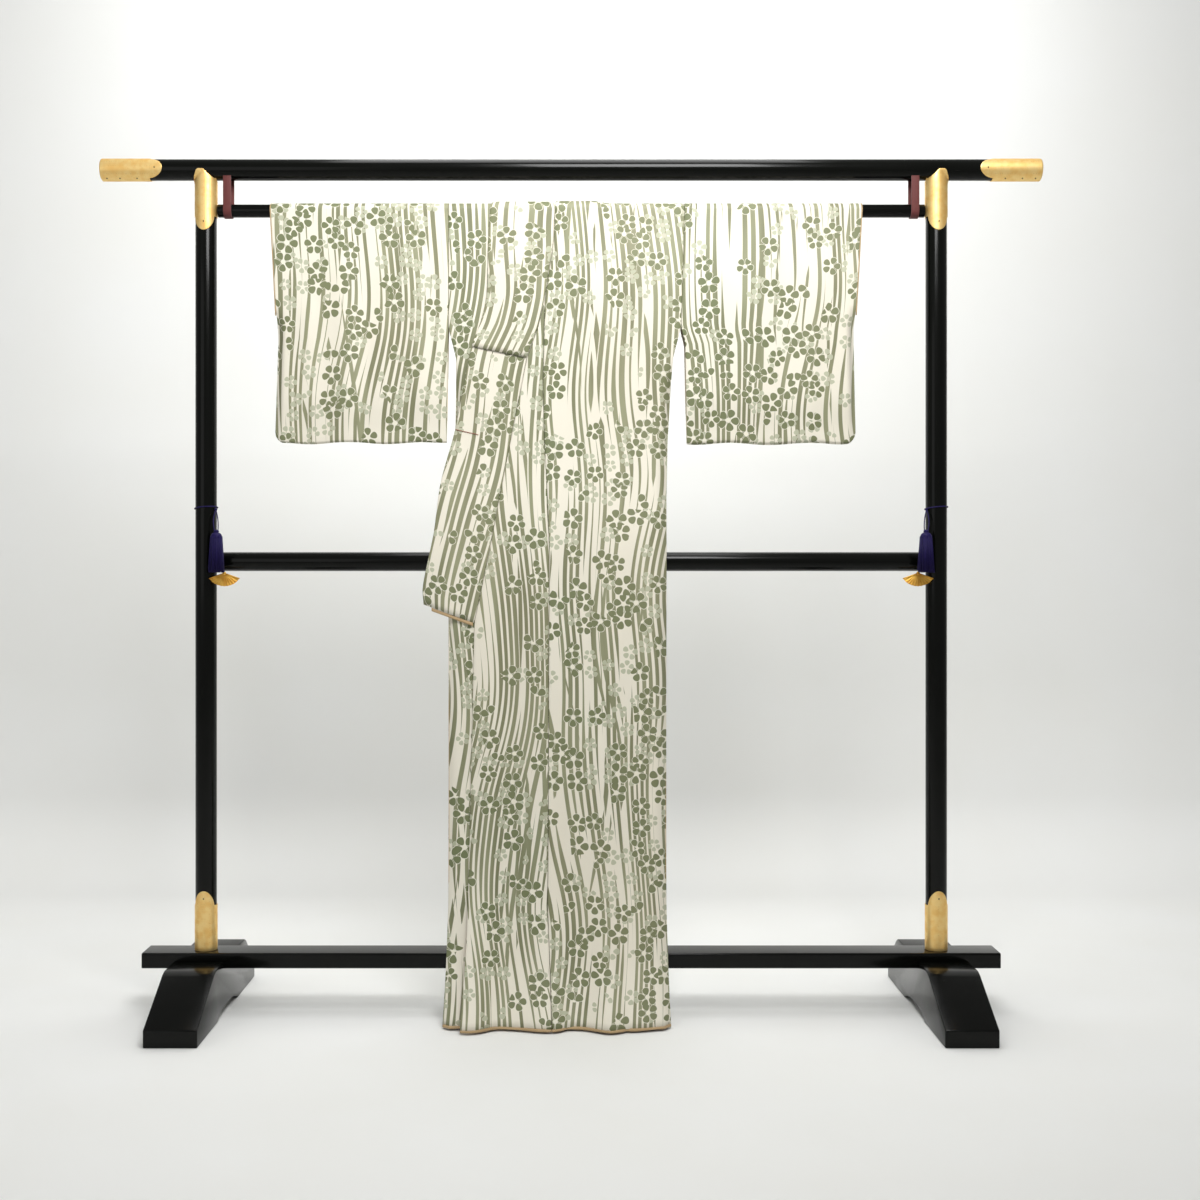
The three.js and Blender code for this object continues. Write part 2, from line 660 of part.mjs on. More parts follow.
// Foot in side view: upright toes, straight slopes up to a flat top notched for the rail, arched underside.
function foot(out) {
  const { halfLength: l, toe, top, flatFront, flatBack, pad, arch, width } = FOOT;
  const notch = LOW_RAIL.halfDepth + SEAM;
  const ease = 14; // run of the rounded shoulder
  const dropAt = (flat) => ease * (top - toe) / (l - flat);
  const outline = new THREE.Shape();
  outline.moveTo(-l, 0);
  outline.lineTo(-l + pad, 0);
  outline.bezierCurveTo(-l + pad + 25, arch, -40, arch, 0, arch);
  outline.bezierCurveTo(40, arch, l - pad - 25, arch, l - pad, 0);
  outline.lineTo(l, 0);
  outline.lineTo(l, toe);
  outline.lineTo(flatBack + ease, top - dropAt(flatBack));
  outline.quadraticCurveTo(flatBack, top, flatBack - ease, top);
  outline.lineTo(notch, top);
  outline.lineTo(notch, LOW_RAIL.bottom - SEAM);
  outline.lineTo(-notch, LOW_RAIL.bottom - SEAM);
  outline.lineTo(-notch, top);
  outline.lineTo(-flatFront + ease, top);
  outline.quadraticCurveTo(-flatFront, top, -flatFront - ease, top - dropAt(flatFront));
  outline.lineTo(-l, toe);
  const solid = new THREE.ExtrudeGeometry(outline, { depth: width, bevelEnabled: false, curveSegments: 8 });
  return moved(turned(solid, QUARTER, 0, QUARTER), out * FOOT.x - width / 2, 0, 0);
}

// Fan-shaped nail cover, its outer tip on the post.
function fan(out) {
  const half = FAN.width / 2;
  const tip = -FAN.height * 0.12;
  const shoulder = FAN.height * 0.35;
  const outline = new THREE.Shape();
  outline.moveTo(-half, tip);
  outline.quadraticCurveTo(0, -FAN.height * 0.98, half, tip);
  outline.lineTo(8, shoulder);
  outline.quadraticCurveTo(0, FAN.height * 0.6, -8, shoulder);
  const shape = { depth: FAN.thick, bevelEnabled: false, curveSegments: 8 };
  const plate = turned(new THREE.ExtrudeGeometry(outline, shape), QUARTER);
  const seat = Math.sqrt((POST.radius + SEAM) ** 2 - (POST.x - FAN.x - half) ** 2);
  return moved(plate, out * FAN.x, -seat, FAN.z - FAN.height * 0.3);
}

// Tassel and the cord that ties it to the post.
function tassel(out) {
  const { top, bottom, radius } = TASSEL;
  const profile = [
    [0, bottom], [radius, bottom], [radius * 0.95, bottom + 34], [radius * 0.78, top - 14],
    [radius * 0.6, top - 5], [radius * 0.3, top], [0, top],
  ].map(([r, z]) => new THREE.Vector2(r, z));
  const body = turned(new THREE.LatheGeometry(profile, 20), QUARTER);
  return moved(body, out * TASSEL.x, TASSEL.y, 0);
}

function tasselCord(out) {
  const { x, y, top, band, cord } = TASSEL;
  const ring = cut(
    postAlongZ(POST.radius + 2.6, band - 3, band + 3, POST.x),
    postAlongZ(POST.radius + SEAM, band - 4, band + 4, POST.x),
  );
  const start = POST.radius + 1; // in the ring's wall
  const end = Math.hypot(POST.x - x, y) + cord / 2;
  const angle = Math.atan2(y, x - POST.x);
  const bar = moved(new THREE.BoxGeometry(end - start, cord, cord), (start + end) / 2, 0, band);
  const reach = moved(turned(bar, 0, 0, angle), POST.x, 0, 0);
  const length = band + cord / 2 - top - SEAM;
  const drop = moved(new THREE.BoxGeometry(cord, cord, length), x, y, top + SEAM + length / 2);
  const whole = fuse(ring, reach, drop);
  return out > 0 ? whole : mirrored(whole);
}

// ---- assembly -----------------------------------------------------------------------------

add('body_right', bodyRight(), IVORY);
add('body_left', bodyLeft(), IVORY);
add('okumi_right', overlapPanel('right'), IVORY);
add('okumi_left', overlapPanel('left'), IVORY);
add('collar', collarWall(collarRows(COLLAR.length), 0, WALL, 0), IVORY);
add('over_collar', collarWall(collarRows(OVER_COLLAR_ROWS), WALL + SEAM, 1, 0.8), IVORY);
add('collar_right', hiddenCollar(), IVORY);
add('lining_collar_end', collarEndLining(), OCHRE);

for (const half of ['left', 'right']) {
  add(`sleeve_${half}`, sleeve(half), IVORY);
  add(`lining_cuff_${half}`, cuffLining(half), OCHRE);
}

const hemEdges = {
  front_left: ['front', 3, (p) => [frontSeamX(p.z) + SEAM, sideX('left', p.z)]],
  okumi_left: ['front', 3, (p) => [overlapEdgeX(p.z), frontSeamX(p.z) - SEAM]],
  front_right: ['front', 1, (p) => [RIGHT_SEAM_X - SEAM, sideX('right', p.z)]],
  okumi_right: ['front', 1, (p) => [RIGHT_SEAM_X + SEAM, rightOverlapX(p.z)]],
  back_left: ['back', 3, (p) => [PLEAT.left, sideX('left', p.z)]],
  back_right: ['back', 1, (p) => [PLEAT.right, sideX('right', p.z)]],
};
for (const [name, [side, n, edges]] of Object.entries(hemEdges)) {
  const columns = name.startsWith('okumi') ? OVERLAP_COLUMNS : PANEL_COLUMNS;
  add(`lining_hem_${name}`, hemLining(side, n, edges, columns), OCHRE);
}

const beamEnd = BEAM.halfLength - 3 - SEAM;
const postTop = BEAM.z - BEAM.radius - SEAM;
const between = POST.x - POST.radius - SEAM;
add('top_beam', rodAlongX(BEAM.radius, -beamEnd, beamEnd, BEAM.z), LACQUER);
add('hanging_rod', rodAlongX(ROD.radius, -ROD.halfLength, ROD.halfLength, ROD.z, 24), LACQUER);
add('mid_rail', rodAlongX(MID_RAIL.radius, -between, between, MID_RAIL.z), LACQUER);
add('low_rail', lowRail(), LACQUER);

for (const [name, out] of [['left', 1], ['right', -1]]) {
  add(`post_${name}`, postAlongZ(POST.radius, POST.foot, postTop, out * POST.x), LACQUER);
  add(`beam_cap_${name}`, beamCap(out), GOLD);
  add(`fitting_high_${name}`, postFittingHigh(out), GOLD);
  add(`fitting_low_${name}`, postFittingLow(out), GOLD);
  add(`loop_${name}`, loop(out), RED_CORD);
  add(`foot_${name}`, foot(out), LACQUER);
  add(`fan_${name}`, fan(out), GOLD);
  add(`tassel_${name}`, tassel(out), PURPLE);
  add(`tassel_cord_${name}`, tasselCord(out), PURPLE);
}

export default group;
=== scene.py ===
import math
import bpy
import bmesh
from mathutils import Matrix, Vector


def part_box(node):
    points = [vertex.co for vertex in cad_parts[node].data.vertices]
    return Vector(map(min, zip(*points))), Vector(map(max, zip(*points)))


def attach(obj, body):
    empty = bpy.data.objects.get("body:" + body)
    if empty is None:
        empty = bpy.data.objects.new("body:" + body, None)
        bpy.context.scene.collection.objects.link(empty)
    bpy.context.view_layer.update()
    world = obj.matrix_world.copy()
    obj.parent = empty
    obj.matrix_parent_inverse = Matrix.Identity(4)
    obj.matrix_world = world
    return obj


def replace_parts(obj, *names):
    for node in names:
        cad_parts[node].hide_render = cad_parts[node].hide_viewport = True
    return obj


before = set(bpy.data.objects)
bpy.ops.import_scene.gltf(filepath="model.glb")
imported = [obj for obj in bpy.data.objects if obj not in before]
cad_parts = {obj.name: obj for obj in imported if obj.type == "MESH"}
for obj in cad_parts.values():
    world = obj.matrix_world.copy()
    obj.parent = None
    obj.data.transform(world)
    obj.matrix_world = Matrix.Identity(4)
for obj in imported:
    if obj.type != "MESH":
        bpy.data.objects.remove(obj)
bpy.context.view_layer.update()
print("frame loaded")

# camera
view = {
    "centreX": 0.0, "height": 0.86, "distance": 3.0, "lens": 45.0, "sensor": 36.0,
    "shiftX": 0.024, "shiftY": -0.017,
}


def placeCamera():
    camera = bpy.data.objects.new("camera", bpy.data.cameras.new("camera"))
    camera.data.lens = view["lens"]
    camera.data.sensor_width = view["sensor"]
    camera.data.shift_x = view["shiftX"]
    camera.data.shift_y = view["shiftY"]
    camera.location = (view["centreX"], -view["distance"], view["height"])
    camera.rotation_euler = (math.radians(90), 0, 0)
    bpy.context.scene.collection.objects.link(camera)
    bpy.context.scene.camera = camera


placeCamera()

# how the cloth hangs
gap = 0.0004  # between the edges of neighbouring pieces
hang = {
    "rodRadius": 0.013, "rodHeight": 1.597, "rodSteps": 16,
    "wall": 0.0016, "shell": 0.0013,  # CAD wall and visible thickness
    "inner": 0.0006, "layer": 0.0024, "middle": 0.003,  # first layer, step to the next, middle of the stack
    "over": {"heights": (1.59, 1.45), "across": (0.042, 0.078)},  # where the left front rises onto the right
    "pinch": 0.016, "slitHeight": 1.25, "slitEase": (0.04, -0.01), "cuff": 0.23,
    "flare": {"below": 0.26, "closed": 0.8},  # low down the sewn sides stay a little open
    "hemClear": 0.0080, "liningClear": 0.003, "hemEase": 0.12, "hemRange": (-0.029, 0.06), "halvings": 16,
    "lowest": {"front": 0.004, "back": 0.006}, "rowStep": 0.013,
    "edgeColumns": (0.0, 0.0014, 0.0035, 0.007), "columnStep": 0.011,
    "rolls": ((0.0011, 0.0022), (0.0007, 0.007)),  # depth and reach
    "depth": [  # height, front, back
        (1.597, -0.0130, 0.0130), (1.560, -0.0133, 0.0126), (1.400, -0.016, 0.008),
        (1.134, -0.022, -0.002), (0.896, -0.045, -0.030), (0.500, -0.051, -0.036),
        (0.250, -0.062, -0.046), (0.120, -0.084, -0.066), (0.060, -0.109, -0.088),
        (0.000, -0.143, -0.120), (-0.030, -0.161, -0.137),
    ],
    "sweep": [  # place across, forward swing of the outer front at the hem
        (-0.260, -0.012), (-0.195, -0.024), (-0.150, -0.002), (-0.100, -0.005), (-0.035, -0.016),
        (0.015, -0.001), (0.068, -0.020), (0.125, -0.009), (0.168, 0.0), (0.200, 0.0),
    ],
    "sweepHeights": (0.32, -0.01),
    "waves": [(0.173, 0.6, 0.0, 0.6), (0.097, 2.1, 1 / 0.9, 0.4)],  # length, start, turn with height, share
    "waveDepth": 0.0022, "waveHeights": (1.5, 0.9),
}
outline = {
    "side": [  # height, left, right
        (1.597, 0.226, -0.244), (1.360, 0.218, -0.244), (1.300, 0.202, -0.229), (1.133, 0.192, -0.231),
        (1.022, 0.189, -0.236), (0.775, 0.188, -0.242), (0.220, 0.187, -0.241), (-0.030, 0.192, -0.247),
    ],
    "frontSeam": [
        (1.597, -0.032), (1.525, -0.036), (1.420, -0.052), (1.250, -0.056), (1.133, -0.053),
        (1.022, -0.047), (0.917, -0.043), (0.360, -0.045), (0.220, -0.046), (-0.030, -0.035),
    ],
    "overlapEdge": [(0.775, -0.190), (0.420, -0.198), (0.160, -0.203), (-0.030, -0.212)],
    "collar": [  # height at the seam, free edge, its height, seam edge
        (1.597, -0.162, 1.597, -0.032), (1.525, -0.166, 1.520, -0.036), (1.420, -0.168, 1.430, -0.052),
        (1.360, -0.180, 1.372, -0.066), (1.300, -0.198, 1.322, -0.088), (1.133, -0.230, 1.158, -0.121),
        (1.022, -0.258, 1.050, -0.142), (0.917, -0.271, 0.950, -0.161), (0.805, -0.292, 0.845, -0.184),
        (0.775, -0.290, 0.811, -0.191),
    ],
    "overCollarEnd": 1.300, "piecing": 1.133, "collarEnd": 0.775, "collarDrop": 0.110,
    "collarBack": (-0.150, -0.048), "collarWidth": 0.112, "collarRise": (1.57, 1.46), "billow": 0.0016,
    "tip": 1.405, "tipWidth": 0.003, "rightSeam": -0.022, "rightCollar": 0.052, "rightShift": 0.052,
    "rightFlare": 0.004, "neckTurn": (100, 170), "neckFall": (1.59, 1.56),
    "pleat": {"left": -0.0465, "right": 0.0285, "seam": -0.009, "apart": 0.0006, "span": (1.525, 0.012)},
}
sleeveCut = {
    "left": {"outer": [(1.597, 0.578), (1.360, 0.563), (1.120, 0.567)],
             "inner": [(1.360, 0.218), (1.330, 0.226), (1.120, 0.230)]},
    "right": {"outer": [(1.597, -0.598), (1.340, -0.584), (1.120, -0.590)],
              "inner": [(1.360, -0.244), (1.120, -0.248)]},
    "bottom": 1.136, "corner": 0.017, "armhole": 1.360, "width": 0.345,
    "cuffShares": [0.0, 0.004, 0.01, 0.018, 0.028, 0.04, 0.055], "innerShares": [0.99, 0.996, 1.0],
    "columns": 34, "rows": 36, "taper": 0.6, "taperHeight": 0.09, "turnDepth": 0.8, "clear": 0.0003,
}
printStarts = {  # where each piece lies on the printed cloth
    "bodyLeft": 0.0, "bodyRight": 0.62, "okumiLeft": 1.31, "okumiRight": 1.9,
    "collar": 2.4, "overCollar": 0.31, "collarRight": 2.9, "sleeve": 3.5,
}
creases = {  # place across, lean, top, bottom, depth, half width
    ("front", "body"): [
        (0.020, 0.02, 1.42, 0.50, -0.0016, 0.016), (0.085, -0.03, 1.20, 0.12, 0.0042, 0.026),
        (0.122, -0.02, 0.95, 0.02, -0.0022, 0.015), (0.158, 0.01, 1.30, 0.45, 0.0028, 0.017),
        (0.045, 0.03, 0.62, 0.02, 0.0048, 0.020), (-0.005, 0.00, 0.48, 0.01, -0.0020, 0.014),
        (-0.070, 0.01, 1.10, 0.30, 0.0026, 0.020), (-0.110, -0.03, 0.92, 0.02, -0.0020, 0.016),
        (-0.150, -0.02, 0.70, 0.02, 0.0050, 0.022), (0.150, -0.06, 1.57, 1.28, 0.0032, 0.018),
        (0.196, -0.05, 1.50, 1.22, 0.0030, 0.014), (-0.212, 0.02, 1.54, 1.20, 0.0022, 0.014),
    ],
    ("back", "body"): [
        (-0.150, 0.02, 1.45, 0.30, 0.0030, 0.024), (-0.200, 0.00, 1.20, 0.02, -0.0018, 0.016),
        (0.110, -0.03, 1.40, 0.10, 0.0020, 0.022), (0.060, 0.02, 0.80, 0.01, -0.0018, 0.018),
        (0.160, 0.01, 1.50, 0.50, 0.0022, 0.018),
    ],
    ("front", "sleeve"): [
        (-0.330, 0.03, 1.58, 1.20, 0.0034, 0.024), (-0.395, -0.02, 1.50, 1.14, -0.0026, 0.018),
        (-0.455, 0.01, 1.57, 1.15, 0.0040, 0.022), (-0.530, 0.02, 1.45, 1.15, 0.0030, 0.016),
        (0.285, -0.02, 1.58, 1.16, 0.0030, 0.020), (0.350, 0.03, 1.48, 1.14, 0.0044, 0.024),
        (0.425, 0.00, 1.56, 1.20, -0.0026, 0.016), (0.490, -0.02, 1.50, 1.14, 0.0036, 0.020),
    ],
    ("back", "sleeve"): [
        (-0.300, 0.02, 1.55, 1.14, 0.0030, 0.022), (-0.480, -0.03, 1.50, 1.18, 0.0036, 0.020),
        (0.320, 0.02, 1.55, 1.15, 0.0032, 0.024), (0.450, -0.02, 1.52, 1.16, 0.0030, 0.018),
    ],
}
creaseEnds = {"start": 0.25, "finish": 0.15, "under": 0.05, "toHem": 0.06}  # shares of its length, heights


def clamp(value, low=0.0, high=1.0):
    return max(low, min(high, value))


def ramp(start, end, value):
    t = clamp((value - start) / (end - start))
    return t * t * (3 - 2 * t)


def fallRamp(top, bottom, z):
    return 1 - ramp(bottom, top, z)


def segment(table, value):
    rising = table[1][0] > table[0][0]
    i = 1
    while i < len(table) - 1 and (value > table[i][0]) == rising and value != table[i][0]:
        i += 1
    return i


def straight(table, value, column=1):
    a, b = table[segment(table, value) - 1], table[segment(table, value)]
    return a[column] + (b[column] - a[column]) * clamp((value - a[0]) / (b[0] - a[0]))


def smooth(table, value, column=1):
    i = segment(table, value)

    def slope(k):
        p, q = table[max(0, k - 1)], table[min(len(table) - 1, k + 1)]
        return (q[column] - p[column]) / (q[0] - p[0])
    a, b = table[i - 1], table[i]
    span = b[0] - a[0]
    t = clamp((value - a[0]) / span)
    rise = b[column] - a[column]
    m0, m1 = slope(i - 1) * span, slope(i) * span
    return a[column] + t * m0 + t * t * (3 * rise - 2 * m0 - m1) + t ** 3 * (m0 + m1 - 2 * rise)


def layerAt(number):
    return hang["inner"] + (number - 1) * hang["layer"]


def drift(x, z, outer):
    sweep = outer * smooth(hang["sweep"], x) * fallRamp(*hang["sweepHeights"], z)
    wave = 0.0
    for length, start, turn, share in hang["waves"]:
        wave += math.sin(x / length * 2 * math.pi + start + z * turn) * share
    return sweep + wave * hang["waveDepth"] * fallRamp(*hang["waveHeights"], z)


def crease(x, side, z, where):
    lift = 0.0
    for at, lean, top, bottom, depth, half in creases[side, where]:
        if not bottom - creaseEnds["under"] < z < top:
            continue
        tall = top - bottom
        across = (x - at - lean * (top - z) / tall) / half
        along = ramp(top, top - creaseEnds["start"] * tall, z)
        fade = ramp(bottom - creaseEnds["under"], bottom + creaseEnds["finish"] * tall, z)
        if bottom < creaseEnds["toHem"]:
            fade = 1
        lift += depth * math.exp(-across * across) * along * fade
    return lift


def clothPoint(x, place, offset, where="body"):  # offset is measured outward from the drape
    side, value = place
    if side == "rod":
        a = math.radians(value)
        r = hang["rodRadius"] + offset
        return Vector((x, -r * math.cos(a), hang["rodHeight"] + r * math.sin(a)))
    column, out = (1, -1) if side == "front" else (2, 1)
    near = 0.002
    above, below = smooth(hang["depth"], value + near, column), smooth(hang["depth"], value - near, column)
    lean = (above - below) / (2 * near)
    size = math.hypot(1, lean)
    offset += crease(x, side, value, where)
    outer = ramp(layerAt(2), layerAt(3), offset) if side == "front" else 0
    z = value - out * offset * lean / size
    y = smooth(hang["depth"], value, column) + out * offset / size + drift(x, z, outer)
    return Vector((x, y, z))


def hemLevel(x, side, offset, clear):  # the height on the drape whose point lies clear above the floor
    low, high = hang["hemRange"]
    for _ in range(hang["halvings"]):
        middle = (low + high) / 2
        if clothPoint(x, (side, middle), offset).z < clear:
            low = middle
        else:
            high = middle
    return high


def leftOffset(x, place):
    away = fallRamp(*hang["over"]["heights"], place[1]) if place[0] != "rod" else 0
    return layerAt(1) + (layerAt(3) - layerAt(1)) * max(1 - ramp(*hang["over"]["across"], x), away)


def seamOffset(half, place):  # where a sleeve meets the body
    return leftOffset(outline["side"][0][1], place) if half == "left" else layerAt(1)


def hollowAt(z):
    return straight(hang["depth"], z, 2) - straight(hang["depth"], z, 1)


def sewn(offset, x, edge, place, start=None):  # a sewn side draws the front and the back together
    side, z = place
    if side == "rod":
        return offset
    start = hang["slitHeight"] if start is None else start
    near = 1 - ramp(0, hang["pinch"], abs(edge - x))
    near *= fallRamp(*(start + ease for ease in hang["slitEase"]), z)
    closed = hang["flare"]["closed"] if z < hang["flare"]["below"] else 1
    return offset - near * (offset + hollowAt(z) * closed / 2 - gap)


def levels(top, bottom, step):
    count = max(2, round((top - bottom) / step))
    return [top + (bottom - top) * i / count for i in range(count + 1)]


def sidePlaces(side, top, bottom, step=hang["rowStep"]):
    return [(side, z) for z in levels(top, bottom, step)]


rodPlaces = [("rod", 180 * i / hang["rodSteps"]) for i in range(1, hang["rodSteps"])]


def pathLengths(places, across=0.1):  # distance along the cloth, for its print
    lengths, last = [], None
    for place in places:
        point = clothPoint(across, place, hang["middle"])
        lengths.append(0.0 if last is None else lengths[-1] + (point - last).length)
        last = point
    return lengths


def columns(width, step=hang["columnStep"]):  # shares across a panel, closer at its edges
    edge = [away / width for away in hang["edgeColumns"]]
    inside = max(2, round((width - 2 * hang["edgeColumns"][-1]) / step))
    middle = [edge[-1] + (1 - 2 * edge[-1]) * i / inside for i in range(1, inside)]
    return edge + middle + [1 - share for share in reversed(edge)]


def edgeRoll(width, share):  # the seam pulls each edge in a little
    away = min(share, 1 - share) * width
    return -sum(depth * math.exp(-(away / reach) ** 2) for depth, reach in hang["rolls"])


# pieces of cloth
def gridSpots(shape, rows, across):  # a flat grid, with the row and the column of each point
    grid = bmesh.ops.create_grid(shape, x_segments=across - 1, y_segments=rows - 1, size=0.5)
    spots = {}
    for vert in grid["verts"]:
        spots[vert] = (round((vert.co.y + 0.5) * (rows - 1)), round((vert.co.x + 0.5) * (across - 1)))
    return spots


def layGrid(shape, rows, across, pointAt, printAt):
    uvLayer = shape.loops.layers.uv.get("print") or shape.loops.layers.uv.new("print")
    spots = gridSpots(shape, rows, across)
    faces = {face for vert in spots for face in vert.link_faces}
    for face in faces:
        face.smooth = True
        for loop in face.loops:
            loop[uvLayer].uv = printAt(*spots[loop.vert])
    for vert, spot in spots.items():
        vert.co = pointAt(*spot)
    return list(faces)


def clothPiece(name, sheets, look, replaced=(), shell=None):
    shape = bmesh.new()
    for sheet in sheets:
        faces = layGrid(shape, sheet["rows"], sheet["across"], sheet["pointAt"], sheet["printAt"])
        if sheet.get("turned"):
            bmesh.ops.reverse_faces(shape, faces=faces)
        if sheet.get("ring"):  # closed where its ends meet
            bmesh.ops.remove_doubles(shape, verts=shape.verts, dist=0.00002)
    piece = finishMesh(name, shape, look)
    thicken = piece.modifiers.new("thickness", "SOLIDIFY")
    thicken.thickness = shell or hang["shell"]
    thicken.offset = -1
    thicken.use_even_offset = False
    if len(look) > 1:
        thicken.material_offset = 1
    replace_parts(piece, *replaced)


def smoothFaces(shape):
    for face in shape.faces:
        face.smooth = True


def finishMesh(name, shape, look):
    mesh = bpy.data.meshes.new(name)
    shape.to_mesh(mesh)
    shape.free()
    piece = bpy.data.objects.new(name, mesh)
    bpy.context.scene.collection.objects.link(piece)
    for material in look:
        mesh.materials.append(material)
    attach(piece, "root")
    return piece


def panelSheet(places, edges, offset, printU, hem=None, foldEnd=None):  # foldEnd: the end folded behind
    widest = max(abs(edges(place)[1] - edges(place)[0]) for place in places)
    shares = columns(widest)
    lengths = pathLengths(places)
    lowest = {side: min(z for other, z in places if other == side) for side, _ in places}
    ease = hang["hemEase"]

    def acrossAt(i, k):
        start, end = edges(places[i])
        return start + (end - start) * shares[k]

    def pointAt(i, k):
        x, (side, z) = acrossAt(i, k), places[i]
        folded = side == "back" and foldEnd is not None and abs(shares[k] - foldEnd) < 0.5
        o = offset(x, places[i]) + hang["wall"] + (0 if folded else edgeRoll(widest, shares[k]))
        if hem is not None and side != "rod" and z < ease:  # the last rows ease to an even hem
            low = hemLevel(x, side, o - (hang["wall"] if side == "front" else 0), hem)
            z = low + (ease - low) * clamp((z - lowest[side]) / (ease - lowest[side]))
        return clothPoint(x, (side, z), o)
    return {"rows": len(places), "across": len(shares), "pointAt": pointAt,
            "printAt": lambda i, k: (printU(acrossAt(i, k), places[i]), lengths[i])}


def sideX(half, z):
    return straight(outline["side"], z, 1 if half == "left" else 2)


def frontSeamX(z):
    return straight(outline["frontSeam"], z)


def collarSeamX(z):
    return straight(outline["collar"], z, 3)


def overlapEdgeX(z):
    return collarSeamX(z) if z > outline["collarEnd"] else straight(outline["overlapEdge"], z)


def rightOverlapX(z):
    lowest = max(z, outline["collarEnd"])
    flare = (lowest - z) * outline["rightFlare"]
    return outline["rightSeam"] - outline["rightShift"] - collarSeamX(lowest) + flare


def neckOpen(place):
    if place[0] == "rod":
        return ramp(*outline["neckTurn"], place[1]) * 0.5
    return 0.5 + 0.5 * fallRamp(*outline["neckFall"], place[1])


def bodyPlaces():
    front = sidePlaces("front", hang["rodHeight"], hang["lowest"]["front"])
    back = sidePlaces("back", hang["rodHeight"], hang["lowest"]["back"])
    return front[::-1] + rodPlaces + back


def pleatSheet(foldX, endX, fromLayer, toLayer, printStart):
    inward = math.copysign(1, endX - foldX)
    a, b = layerAt(fromLayer) + hang["wall"], layerAt(toLayer)
    line = []
    for turn in range(0, 181, 30):
        t = math.radians(turn)
        line.append((foldX - inward * abs(b - a) / 2 * math.sin(t), (a + b) / 2 - (b - a) / 2 * math.cos(t)))
    line += [(foldX + (endX - foldX) * share, b) for share in (0.25, 0.6, 1.0)]
    places = sidePlaces("back", *outline["pleat"]["span"])
    lengths = pathLengths(places)
    return {"rows": len(places), "across": len(line), "turned": inward < 0,
            "pointAt": lambda i, k: clothPoint(line[k][0], places[i], line[k][1]),
            "printAt": lambda i, k: (printStart + line[k][0], lengths[i])}


def makeBodies(silk, lining):
    places, pleat = bodyPlaces(), outline["pleat"]
    rightSeam, leftSeam = outline["rightSeam"], outline["frontSeam"][0][1]

    def inFront(place):
        return place[0] == "front" or (place[0] == "rod" and place[1] < outline["neckTurn"][0])

    def rightInner(place):
        if inFront(place):
            return rightSeam - gap
        return rightSeam + (pleat["right"] - rightSeam) * neckOpen(place)

    def leftInner(place):
        if inFront(place):
            return gap + (leftSeam if place[0] == "rod" else frontSeamX(place[1]))
        return leftSeam + gap + (pleat["left"] - leftSeam) * neckOpen(place)

    def sideAt(half, place):
        return sideX(half, hang["rodHeight"] if place[0] == "rod" else place[1])
    right = panelSheet(
        places, lambda p: (sideAt("right", p), rightInner(p)),
        lambda x, p: sewn(layerAt(1), x, sideAt("right", p), p),
        lambda x, p: x + printStarts["bodyRight"], hang["hemClear"], foldEnd=1)
    left = panelSheet(
        places, lambda p: (leftInner(p), sideAt("left", p)),
        lambda x, p: sewn(leftOffset(x, p), x, sideAt("left", p), p),
        lambda x, p: x + printStarts["bodyLeft"], hang["hemClear"], foldEnd=0)
    rightPleat = pleatSheet(pleat["right"], pleat["seam"], 1, 2, printStarts["bodyRight"])
    leftPleat = pleatSheet(pleat["left"], pleat["seam"] - pleat["apart"], 3, 2, printStarts["bodyLeft"])
    clothPiece("bodyRight", [right, rightPleat], [silk, lining], replaced=["body_right"])
    clothPiece("bodyLeft", [left, leftPleat], [silk, lining], replaced=["body_left"])


def makeOverlaps(silk, lining):
    seam = outline["rightSeam"]

    def leftEdges(p):
        tucked = gap if p[1] > outline["collarEnd"] else 0
        return overlapEdgeX(p[1]) + tucked, frontSeamX(p[1]) - gap

    def rightEdges(p):
        return seam + gap, max(rightOverlapX(p[1]), seam + outline["tipWidth"]) - gap
    places = sidePlaces("front", outline["tip"], hang["lowest"]["front"])[::-1]
    left = panelSheet(places, leftEdges, lambda x, p: layerAt(3),
                      lambda x, p: x - frontSeamX(p[1]) + printStarts["okumiLeft"], hang["hemClear"])
    right = panelSheet(places, rightEdges, lambda x, p: layerAt(1),
                       lambda x, p: x + printStarts["okumiRight"], hang["hemClear"])
    for half, sheet, under in (("left", left, "collar"), ("right", right, "collar_right")):
        clothPiece("okumi" + half.capitalize(), [sheet], [silk, lining],
                   replaced=["okumi_" + half])


def collarRows(bottom):  # free edge, seam edge, their places, share of the way to the outer layer
    top, step = hang["rodHeight"], 0.012
    _, freeTop, _, seamTop = outline["collar"][0]
    freeBack, seamBack = outline["collarBack"]
    behind = sidePlaces("back", top, top - outline["collarDrop"], step)[::-1]
    rows = [(freeBack, seamBack, place, place, 0.0) for place in behind]
    for place in rodPlaces[::-1]:
        t = place[1] / 180
        free, seam = freeTop + (freeBack - freeTop) * t, seamTop + (seamBack - seamTop) * t
        rows.append((free, seam, place, place, 0.0))
    for z in levels(top, bottom, step):
        free, freeZ = smooth(outline["collar"], z, 1), straight(outline["collar"], z, 2)
        rise = fallRamp(*outline["collarRise"], z)
        rows.append((free, collarSeamX(z), ("front", freeZ), ("front", z), rise))
    return rows


